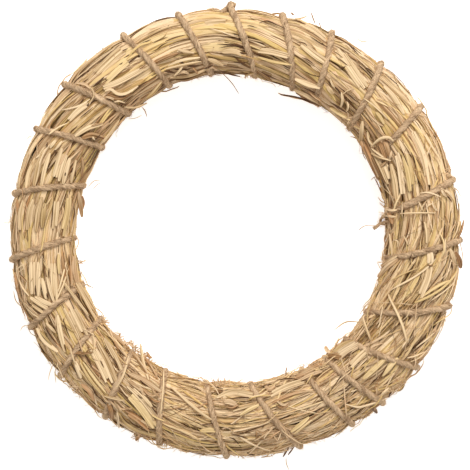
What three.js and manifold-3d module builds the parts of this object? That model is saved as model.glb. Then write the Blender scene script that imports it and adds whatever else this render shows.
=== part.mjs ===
// A straw wreath: a ring-shaped roll of packed straw, bound with one spiral of jute twine.
// Millimetres. It lies on its back on the XY plane with its front up, +Z. The origin is the ring's
// centre, on the surface that it lies on, and angles round the ring are counted from +X towards +Y.
// Angles round the roll's section are 0 at the rim, 90 at the front and 180 at the hole.

import * as THREE from "three";
import { ParametricGeometry } from "three/addons/geometries/ParametricGeometry.js";
import { mergeVertices } from "three/addons/utils/BufferGeometryUtils.js";
import Module from "manifold-3d";

// Driving sizes
const OUTER_DIAMETER = 299; // over the straw
const ROLL_WIDTH = 47.4; // from the rim to the hole
const ROLL_HEIGHT = 45; // from the table to the top of the straw
const PRESSED_FLAT = 2.6; // what the roll's round section loses where it lies on the table
const TWINE_DIAMETER = 4;
const BITE = 3.2; // how deep the twine pinches the straw
const PINCH_HALF_WIDTH = 8; // from the twine's middle to where the straw is full again
const BLADE_RELIEF = 2.2; // from a blade's ridge to the valley beside it
const STALK_DIAMETER = 2.3; // of the loose stalks
const TABLE_CLEARANCE = 0.4; // from the table to the twine, at least
const UNDERSIDE_EASE = 3; // how gently the twine levels out there
const GAP = 0.35; // between pieces that touch
const KNOT_DIAMETER = 9;
const KNOT_TILT = 32; // degrees, of each of its two loops
const KNOT_TIGHTNESS = 0.85; // the pulled twine's thickness, as a share of the rest
const TAIL_LENGTH = 15; // each free end of the twine, from the knot's middle
const PINCH_SHARE = 0.45; // where turns are close, the straw is full again this far between them
const SLACK_HEIGHT = 3.5; // of one turn that stands off the rim
const SLACK_REACH = 11; // along the twine, to each side of that place
const SLACK_PLACE = 5.5; // in turns from the knot

// Where each turn of twine passes the hole and then the rim, in degrees round the ring
const TURNS = [
  [7, 13.5], [28, 34], [42, 49], [58.5, 64], [68, 77.5], [82.5, 91], [98.5, 104.5], [114, 119.5],
  [132, 139], [147.5, 152.5], [163, 170], [182, 187], [199, 205], [213, 219.5], [229.5, 235],
  [243.5, 250.5], [259.5, 268], [276, 287], [296, 301.5], [305.5, 311], [316, 323.5], [329, 341],
  [350, 358],
];

// The wreath is not quite round. Each wave has a count round the ring, a height as a share of the
// roll's width, and the angle of its first crest, in degrees.
const RIM_WAVES = [[1, 0.01, 290], [2, 0.014, 155], [3, 0.014, 109], [4, 0.0105, 38], [5, 0.006, 44]];
const HOLE_WAVES = [[1, 0.046, 154], [2, 0.008, 2], [3, 0.02, 91], [4, 0.0155, 24], [5, 0.008, 30]];

// Loose stalks, each through three places given as [degrees round the ring, degrees round the
// section, height above where it would lie, in stalk diameters]
const LOOSE_STALKS = [
  [[338, 128, 0], [333, 100, 0], [327.5, 72, 0]],
  [[327.2, 160, 0], [324.5, 138, 0], [321.6, 116, 0]],
  [[350.5, 22, 0], [344.5, 54, 0], [338.6, 86, 0]],
  [[196, 114, 0], [203, 124, 0], [210, 133, 0]],
  [[271.2, 67, 0], [275.2, 48, 0], [279.3, 29, 0]],
  [[247.6, 126, 0], [255, 108, 0], [263, 90, 0]],
  [[57, 166, 0], [64, 168, 0.3], [72.5, 170, 2.2]],
];

// Facets
const COLUMNS_PER_TURN = 3; // the groove and its two shoulders
const ROWS = 42; // round the section, a ridge and a valley by turns
const TWINE_STEPS_PER_TURN = 14;
const TWINE_SIDES = 5;
const KNOT_SIDES = 4;
const KNOT_STEPS = 8;
const STALK_STEPS = 4;

const STRAW = new THREE.Color(0.8, 0.66, 0.43);
const JUTE = new THREE.Color(0.63, 0.5, 0.41);

const wasm = await Module();
wasm.setup();

const radians = THREE.MathUtils.degToRad;
const columns = TURNS.length * COLUMNS_PER_TURN;
const twineRadius = TWINE_DIAMETER / 2;
const stalkRadius = STALK_DIAMETER / 2;
const fullHeight = ROLL_HEIGHT + PRESSED_FLAT; // of the section, were it round below too
const millimetresPerDegree = radians((OUTER_DIAMETER - ROLL_WIDTH) / 2); // in the roll's middle

// From the groove's floor to the twine's middle. The groove's walls clear the twine too, where they
// are steepest, under the roll.
const deepest = TABLE_CLEARANCE + TWINE_DIAMETER + GAP + UNDERSIDE_EASE / 2;
const twineSeat = (twineRadius + GAP) * Math.hypot(1, deepest / PINCH_HALF_WIDTH);
const twineInset = BITE - twineSeat; // of the twine's middle, under the full straw
const twineTop = twineRadius - twineInset; // the twine's height above the full straw
const twineLowest = TABLE_CLEARANCE + twineRadius;

const waves = (list, angle) =>
  list.reduce((sum, [count, share, crest]) => sum + share * Math.cos(count * radians(angle - crest)), 0);

const rimRadius = (angle) => OUTER_DIAMETER / 2 + ROLL_WIDTH * waves(RIM_WAVES, angle);
const holeRadius = (angle) => OUTER_DIAMETER / 2 - ROLL_WIDTH * (1 - waves(HOLE_WAVES, angle));

// The angle round the ring that the twine has reached after some turns. A turn starts at the hole,
// crosses the front to the rim and comes back under the roll.
function windingAngle(turns) {
  const passes = TURNS.flat();
  const half = Math.floor(turns * 2);
  const at = (i) => {
    const lap = Math.floor(i / passes.length);
    return passes[i - lap * passes.length] + 360 * lap;
  };
  const ease = (1 - Math.cos(Math.PI * (turns * 2 - half))) / 2;
  return THREE.MathUtils.lerp(at(half), at(half + 1), ease);
}

// A point of the section, as distance from the ring's axis and height, some way under the full outline
function sectionPoint(angle, section, inset) {
  const rim = rimRadius(angle);
  const hole = holeRadius(angle);
  const halfWidth = (rim - hole) / 2;
  const halfHeight = (fullHeight / ROLL_WIDTH) * halfWidth;
  const out = (rim + hole) / 2 + (halfWidth - inset) * Math.cos(radians(section));
  const height = halfHeight - PRESSED_FLAT + (halfHeight - inset) * Math.sin(radians(section));
  return new THREE.Vector2(out, height);
}

function keptAbove(lowest, point, ease = 0) {
  const above = point.y - lowest;
  return new THREE.Vector2(point.x, lowest + (above + Math.hypot(above, ease)) / 2);
}

const place = (angle, { x: out, y: height }) =>
  new THREE.Vector3(out * Math.cos(radians(angle)), out * Math.sin(radians(angle)), height);

function slackAt(turns) {
  const away = (Math.abs(turns - SLACK_PLACE) * Math.PI * ROLL_WIDTH) / SLACK_REACH;
  return away < 1 ? SLACK_HEIGHT * Math.cos((away * Math.PI) / 2) ** 2 : 0;
}

// The middle of the taut twine after some turns, which runs straight from one of its steps to the
// next. With slack, it is where the twine really is.
function twineInSection(turns, slack = () => 0) {
  const steps = turns * TWINE_STEPS_PER_TURN;
  const before = Math.floor(steps + 1e-6);
  const [from, to] = [before, before + 1].map((step) => {
    const corner = step / TWINE_STEPS_PER_TURN;
    const section = 180 - 360 * (corner - Math.floor(corner));
    const point = sectionPoint(windingAngle(corner), section, twineInset - slack(corner));
    return keptAbove(twineLowest, point, UNDERSIDE_EASE);
  });
  return from.lerp(to, steps - before);
}

const twineMiddle = (turns) => place(windingAngle(turns), twineInSection(turns, slackAt));

function twineDirection(turns) {
  const reach = 0.5 / ROWS;
  return twineMiddle(turns + reach).sub(twineMiddle(turns - reach)).normalize();
}

// The floor of the groove, straight in from the twine towards the middle of the roll
function grooveFloor(turns) {
  const reach = 0.5 / ROWS;
  const along = twineInSection(turns + reach).sub(twineInSection(turns - reach));
  const inward = new THREE.Vector2(along.y, -along.x).normalize();
  return place(windingAngle(turns), twineInSection(turns).addScaledVector(inward, twineSeat));
}

// How far a corner of the straw's grid lies under the full outline. Even rows are ridges, each one
// a string of blades whose ends dip, and odd rows are the valleys between them, a little shallower
// where a blade beside them ends.
function bladeDepth(column, row) {
  const shuffled = (row * 7) % 13; // so that the ends of neighbouring blades are apart
  const blades = 9 + (shuffled % 5); // on this row, once round the ring
  const swell = Math.abs(Math.sin(Math.PI * ((blades * column) / columns + shuffled / 13)));
  const share = row % 2 === 0 ? 0.7 * (1 - Math.sqrt(swell)) : 0.6 + 0.4 * swell;
  return BLADE_RELIEF * share;
}

// Degrees round the ring from the twine to the groove's shoulder, measured square to the twine
function shoulderAngle(turns) {
  const middle = twineMiddle(turns);
  const direction = twineDirection(turns);
  const out = Math.hypot(middle.x, middle.y);
  const slant = (direction.y * middle.x - direction.x * middle.y) / out;
  const wanted = PINCH_HALF_WIDTH / (radians(out) * Math.sqrt(1 - slant ** 2));
  const pitches = [turns, turns - 1].map((from) => windingAngle(from + 1) - windingAngle(from));
  return Math.min(wanted, PINCH_SHARE * Math.min(...pitches));
}

// The roll. Its grid slants with the twine, so that every third column is the floor of the groove.
function strawRing() {
  const corner = (u, v, target) => {
    let column = Math.round((1 - u) * columns); // backwards, so that the faces look outwards
    let row = Math.round(v * ROWS);
    if (row === ROWS) {
      row = 0; // once round the section, the grid has moved on by one turn
      column += COLUMNS_PER_TURN;
    }
    const part = column % COLUMNS_PER_TURN;
    const turns = (column - part) / COLUMNS_PER_TURN + row / ROWS;
    const section = 180 - (360 * row) / ROWS;
    if (part === 0) {
      target.copy(grooveFloor(turns));
    } else {
      const angle = part === 1
        ? windingAngle(turns) + shoulderAngle(turns)
        : windingAngle(turns + 1) - shoulderAngle(turns + 1);
      const point = sectionPoint(angle, section, bladeDepth(column % columns, row));
      target.copy(place(angle, keptAbove(0, point)));
    }
  };
  return new ParametricGeometry(corner, columns, ROWS);
}

// The whole path of the twine, whose ends stop just short of each other inside the knot
class Winding extends THREE.Curve {
  turnsAt(share) {
    const held = twineRadius / (Math.PI * ROLL_WIDTH);
    return THREE.MathUtils.clamp(share * TURNS.length, held, TURNS.length - held);
  }

  getPointAt(share, target = new THREE.Vector3()) {
    return target.copy(twineMiddle(this.turnsAt(share)));
  }

  getTangentAt(share, target = new THREE.Vector3()) {
    return target.copy(twineDirection(this.turnsAt(share)));
  }
}

function tube(path, radius, sides, steps) {
  const corners = Array.from({ length: sides }, (_, i) => {
    const angle = (2 * Math.PI * i) / sides;
    return new THREE.Vector2(radius * Math.cos(angle), radius * Math.sin(angle));
  });
  const settings = { steps, extrudePath: path, bevelEnabled: false };
  return new THREE.ExtrudeGeometry(new THREE.Shape(corners), settings);
}

function solidOf(geometry) {
  const bare = geometry.clone();
  bare.deleteAttribute("normal");
  bare.deleteAttribute("uv");
  const merged = mergeVertices(bare, 1e-4);
  return new wasm.Manifold(
    new wasm.Mesh({
      numProp: 3,
      vertProperties: new Float32Array(merged.attributes.position.array),
      triVerts: new Uint32Array(merged.index.array),
    }),
  );
}

function geometryOf(solid) {
  const mesh = solid.getMesh();
  const geometry = new THREE.BufferGeometry();
  geometry.setAttribute("position", new THREE.BufferAttribute(mesh.vertProperties, 3));
  geometry.setIndex(new THREE.BufferAttribute(mesh.triVerts, 1));
  geometry.computeVertexNormals();
  return geometry;
}

// The knot, where the twine's two ends meet at the hole: two loops crossed over a core, and two tails
function knotPieces() {
  const middle = twineMiddle(0);
  const inward = new THREE.Vector3(-middle.x, -middle.y, 0).normalize();
  const along = new THREE.Vector3(inward.y, -inward.x, 0);
  const at = (towardsHole, alongRing, up) =>
    middle
      .clone()
      .addScaledVector(inward, towardsHole)
      .addScaledVector(along, alongRing)
      .add(new THREE.Vector3(0, 0, up));
  const thickness = twineRadius * KNOT_TIGHTNESS;
  const loopRadius = KNOT_DIAMETER / 2 - thickness;
  const standOff = KNOT_DIAMETER / 2 - twineRadius; // leaves the straw clear
  const core = new THREE.SphereGeometry(loopRadius, KNOT_STEPS, KNOT_SIDES);
  core.translate(...at(standOff, 0, 0).toArray());
  const loops = [-1, 1].map((side) => {
    const loop = new THREE.TorusGeometry(loopRadius, thickness, KNOT_SIDES, KNOT_STEPS);
    loop.rotateX(side * radians(KNOT_TILT));
    loop.rotateZ(Math.atan2(inward.y, inward.x));
    return loop.translate(...at(standOff, 0, (side * thickness) / 2).toArray());
  });
  const tails = [-1, 1].map((side) => {
    const path = new THREE.CatmullRomCurve3([
      at(standOff, 0, 0),
      at(TAIL_LENGTH * 0.5, side * TAIL_LENGTH * 0.25, (side * KNOT_DIAMETER) / 4),
      at(TAIL_LENGTH, side * TAIL_LENGTH * 0.45, (-side * KNOT_DIAMETER) / 4),
    ]);
    return tube(path, thickness, KNOT_SIDES, KNOT_SIDES);
  });
  return [core, ...loops, ...tails].map(solidOf);
}

function juteTwine() {
  const winding = solidOf(tube(new Winding(), twineRadius, TWINE_SIDES, TURNS.length * TWINE_STEPS_PER_TURN));
  return geometryOf(knotPieces().reduce((sum, piece) => sum.add(piece), winding));
}

// Millimetres from a place on the roll to the nearest turn of twine
function distanceToTwine(angle, section) {
  const partOfTurn = (180 - section) / 360;
  const distances = TURNS.flatMap((_, turn) =>
    [-360, 0, 360].map((lap) => Math.abs(angle + lap - windingAngle(turn + partOfTurn))),
  );
  return Math.min(...distances) * millimetresPerDegree;
}

// A stalk lies on the straw, and is lifted where it comes over the twine.
function looseStalk(places) {
  const lie = ({ x: angle, y: section, z: height }) => {
    const away = distanceToTwine(angle, section) / PINCH_HALF_WIDTH;
    const onTwine = Math.max(0, twineTop) * THREE.MathUtils.clamp(2 - 2 * away, 0, 1);
    const lift = stalkRadius + GAP + onTwine + height * STALK_DIAMETER;
    return place(angle, keptAbove(stalkRadius, sectionPoint(angle, section, -lift)));
  };
  const route = new THREE.CatmullRomCurve3(places.map((at) => new THREE.Vector3(...at)));
  const path = new THREE.CatmullRomCurve3(route.getPoints(8).map(lie));
  return tube(path, stalkRadius, TWINE_SIDES, STALK_STEPS);
}

function piece(name, geometry, color) {
  const material = new THREE.MeshStandardMaterial({ color, roughness: 0.85, flatShading: true });
  const mesh = new THREE.Mesh(geometry, material);
  mesh.name = name;
  return mesh;
}

const wreath = new THREE.Group();
wreath.add(piece("straw_ring", strawRing(), STRAW));
wreath.add(piece("jute_twine", juteTwine(), JUTE));
LOOSE_STALKS.forEach((places, i) => wreath.add(piece(`loose_stalk_${i + 1}`, looseStalk(places), STRAW)));

export default wreath;
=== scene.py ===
# A straw wreath bound with jute twine. Every blade, stalk and fibre is a strand, swept along a path
# that is worked out on the skin of the roll. Metres. The wreath lies on its back with its front up.
# Angles round the ring are degrees from +X towards +Y. Angles round the roll's section are degrees,
# 0 at the rim, 90 at the front and 180 at the hole.

import math

import bpy
import numpy as np
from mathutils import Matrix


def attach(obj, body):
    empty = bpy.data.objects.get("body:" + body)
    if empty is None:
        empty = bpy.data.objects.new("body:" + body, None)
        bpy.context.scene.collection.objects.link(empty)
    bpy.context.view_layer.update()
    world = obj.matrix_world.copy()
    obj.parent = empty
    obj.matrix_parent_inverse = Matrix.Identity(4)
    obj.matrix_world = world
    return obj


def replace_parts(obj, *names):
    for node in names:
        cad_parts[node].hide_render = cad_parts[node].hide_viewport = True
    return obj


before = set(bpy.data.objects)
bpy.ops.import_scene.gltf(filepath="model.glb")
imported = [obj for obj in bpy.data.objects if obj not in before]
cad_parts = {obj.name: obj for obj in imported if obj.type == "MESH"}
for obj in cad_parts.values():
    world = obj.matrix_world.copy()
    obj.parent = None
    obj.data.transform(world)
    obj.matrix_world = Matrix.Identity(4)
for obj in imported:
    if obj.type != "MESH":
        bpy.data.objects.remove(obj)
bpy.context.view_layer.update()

MM = 0.001

# The roll and its winding, as the solids have them
OUTER_DIAMETER = 299 * MM
ROLL_WIDTH = 47.4 * MM
ROLL_HEIGHT = 45 * MM
PRESSED_FLAT = 2.6 * MM
TWINE_RADIUS = 2 * MM
TWINE_INSET = 0.2 * MM  # of the twine's middle, under the full straw
TWINE_LOWEST = 2.4 * MM
UNDERSIDE_EASE = 3 * MM
SLACK_HEIGHT = 3.5 * MM
SLACK_REACH = 11 * MM
SLACK_PLACE = 5.5  # in turns from the knot
KNOT_DIAMETER = 9 * MM
STALK_DIAMETER = 2.3 * MM
TURNS = [
    [7, 13.5], [28, 34], [42, 49], [58.5, 64], [68, 77.5], [82.5, 91], [98.5, 104.5], [114, 119.5],
    [132, 139], [147.5, 152.5], [163, 170], [182, 187], [199, 205], [213, 219.5], [229.5, 235],
    [243.5, 250.5], [259.5, 268], [276, 287], [296, 301.5], [305.5, 311], [316, 323.5], [329, 341],
    [350, 358],
]
RIM_WAVES = [[1, 0.01, 290], [2, 0.014, 155], [3, 0.014, 109], [4, 0.0105, 38], [5, 0.006, 44]]
HOLE_WAVES = [[1, 0.046, 154], [2, 0.008, 2], [3, 0.02, 91], [4, 0.0155, 24], [5, 0.008, 30]]
LOOSE_STALKS = [
    [[338, 128, 0], [333, 100, 0], [327.5, 72, 0]],
    [[327.2, 160, 0], [324.5, 138, 0], [321.6, 116, 0]],
    [[350.5, 22, 0], [344.5, 54, 0], [338.6, 86, 0]],
    [[196, 114, 0], [203, 124, 0], [210, 133, 0]],
    [[271.2, 67, 0], [275.2, 48, 0], [279.3, 29, 0]],
    [[247.6, 126, 0], [255, 108, 0], [263, 90, 0]],
    [[57, 166, 0], [64, 168, 0.3], [72.5, 170, 2.2]],
]

# Each loose stalk's colour, and its width in mm
LOOSE_LOOKS = [
    ("pale", 1.8), ("pale", 1.5), ("yellow", 1.8), ("pale", 2.1), ("white", 1.4), ("pale", 2.0),
    ("dim", 1.9),
]

# The photograph: its size, where the ring's centre is, and what a pixel measures at half height
PHOTO_SIZE = 470
RING_CENTRE = (234.5, 232.0)
PIXEL = 0.665 * MM
CAMERA_HEIGHT = 2.5
CAMERA_X = (PHOTO_SIZE / 2 - RING_CENTRE[0]) * PIXEL
CAMERA_Y = (RING_CENTRE[1] - PHOTO_SIZE / 2) * PIXEL

# The light and the floor
SKY_STRENGTH = 0.53
LAMPS = {"key": ((0.44, 1.78, 2.4), 1.4, 65), "top": ((0.1, 0.1, 1.6), 1.0, 3)}  # place, size, power
FLOOR_REACH = 4
FLOOR_TONE = 0.9
FLOOR_GLOW = 0.62

# The skin of the straw
SECTION_RADIUS = ROLL_WIDTH / 2
PINCH_WIDTH = 3.4 * MM
PINCH_DEPTH = 2.1 * MM
PINCH_ROUNDNESS = 0.4  # of its bottom, as a share of its width
PINCH_LOST_AT_HOLE = 0.5  # the share of it that is missing where the straw faces the hole
PINCH_PRESSES = 0.6  # the share of the straw's unevenness that it takes away
LUMP_HEIGHT = 0.45 * MM
LUMP_WAVES = [(11, 2, 0), (17, -3, 1), (29, 1, 2)]  # how many round the ring and the section, phase
FLOOR_GAP = 0.3 * MM
FLOOR_EASE, CORNER_EASE = 1.2 * MM, 0.4 * MM  # how softly straws and strands' corners keep off the floor
TOP_OF_STRAW = 1.5 * MM  # the highest that straw lies, above the full outline
PRESSED_AT_FLOOR = 0.5  # how far apart straws lie there, as a share of how far they do elsewhere
TIGHTER_AT_HOLE = 0.9 * MM

# How straws run and what they look like
NEATEST = 110  # the angle round the ring where the straw is broadest and lies most evenly
STRAIGHTER_WHERE_NEAT = 0.5
BROADER_WHERE_NEAT = 0.3
DARKER_WHERE_NEAT = 0.07
SWAY, SWAY_LENGTH = 0.06 * MM, 34 * MM  # from side to side
RIPPLE, RIPPLE_LENGTH = 0.12 * MM, 22 * MM  # up and down
UNEVEN_WIDTH, UNEVEN_LENGTH = 0.08, 9 * MM  # of a straw's edges
DARKEST, LIGHTEST = -0.6, 1.1
TIP_WIDTH = 0.1  # as a share of the straw's width
LEAST_THICKNESS = 0.2 * MM
SHADED_FROM = -15  # the angle round the ring from which its next half has painted shade in the hole
# Painted shade on the straw that faces the hole, and painted light on the straw at the rim
PAINTED_SHADE_IN_HOLE = 0.28
PAINTED_LIGHT_AT_RIM = 0.16
PAINTED_LIGHT_AT_BOTTOM_RIM = 0.1
EVEN_STEPS = (0.7548776662, 0.5698402910)  # shares of a turn whose multiples fill a square evenly
PLACE_JITTER = 0.35  # of a place, as a share of the distance to the next
LEFT_OUT = 0.8  # the share of messy straw that is missing on average, and as much more where it is neat
GRAIN_STEP, GRAIN_REPEAT = 7.31, 97  # the grain's noise is taken this far apart for each strand

# How blades, gaps and fibres that stand alone are made
PLACED_STEPS = 14
PLACED_TIP = 0.15  # as a share of the width
PLACED_THICKNESS = 0.12  # as a share of the width, on top of the least
GAP_WIDTH = 0.62  # as a share of the width that it is given, for the dark strands of painted shade between blades
STRIP_WIDTH = 2.2 * MM  # of the strips that a broad blade is split into
STRIP_OVERLAP = 1.3
STRIP_HEIGHTS = (-0.2, 0.25)  # in mm
STRIP_SHORTER = 3  # a strip starts and ends less than this many steps inside the blade
STRIP_TONES = 0.12
STALK_TAPER = 0.5  # the share of its width that a stalk loses at its ends
STALK_HEIGHT = 0.6  # of its middle over the straw, as a share of its width
STALK_THICKNESS = 0.7  # as a share of its width
FIBRE_WIDTH, NARROW_WIDTH = 0.7 * MM, 2 * MM  # under these a strand has a thin or a narrow section

# How the fibres of a tuft are made
TUFT_STEPS = 12
TUFT_LENGTHS = (0.35, 1)  # as shares of the tuft's own
TUFT_WIDTHS = (0.22, 0.7)  # in mm
TUFT_ROOTS = (-6, 0)  # heights in mm
TUFT_HIDDEN = 0.4  # how far back into the straw a fibre runs, as a share of its length
TUFT_TILT, TUFT_BEND = 0.25, 0.12
TUFT_LIGHT, TUFT_BROWN = (0.35, 1.2), (0, 0.45)

# How the twine is made
TWINE_SINKS_AT_HOLE = 1.0 * MM
PLIES = 3
TWINE_PITCH = 17 * MM
PLY_OFFSET = 0.36  # from the twine's middle to a ply's, as a share of the twine's radius
PLY_WIDTH = 1.56  # as a share of the twine's radius
PLY_TONE, PLY_TONE_STEP = 0.42, 0.1
# Waves in the plies' twist, as radians, length and phase, and in a ply's width, as its share, length
# and what the phase gains from ply to ply
TWIST_WAVES = [(0.7, 23 * MM, 0), (0.5, 9 * MM, 1)]
PLY_WAVES = [(0.1, 5 * MM, 1), (0.08, 2.1 * MM, 2), (0.07, 17 * MM, 0)]
TWINE_STEPS = 2400
TAIL_STEPS = 24
TAIL_FRAY = 1.4  # how far in mm the plies of a tail as thick as the twine would part at its end
TAIL_FIBRES = 90  # of a tail as thick as the twine
LOOP_THICKNESS = 0.85  # as a share of the twine's
FUZZ_STEPS = 5
FUZZ_ROOT = 1.08  # from the twine's middle, as a share of its radius
FUZZ_CURL = 0.9  # how far a fibre goes round the twine, in radians
FUZZ_LIGHT = (0.7, 0.3)  # its middle and its spread
KNOT_PLACE = 0.07  # in turns
KNOT_THICKNESS = 0.62  # as a share of the twine's
KNOT_STANDS_OFF = 1.0 * MM
KNOT_STEPS = 60

# The straw's lean away from the ring's direction, as [degrees round the ring, degrees of lean].
# Where it is positive, straw that runs on anticlockwise comes out towards the rim.
LEANS = [
    [0, 14], [20, -2], [35, -6], [60, 11], [78, 14], [95, 5], [115, -9], [140, 16], [165, 12],
    [190, 5], [210, -3], [235, 12], [262, 4], [280, -9], [300, -3], [320, 5], [345, 20],
]

# Lightness, brownness and yellowness of straw; the gaps' dark colour is painted shade
COLOURS = {
    "white": (1.05, 0.0, 0.0), "pale": (0.85, 0.1, 0.15), "straw": (0.66, 0.15, 0.2),
    "yellow": (0.75, 0.0, 0.65), "olive": (0.25, 0.0, 0.5), "pink": (0.7, 0.5, 0.0),
    "brown": (0.35, 0.9, 0.0), "dim": (0.05, 0.5, 0.0), "shade_gap": (-0.75, 0.2, 0.0),
}
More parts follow.
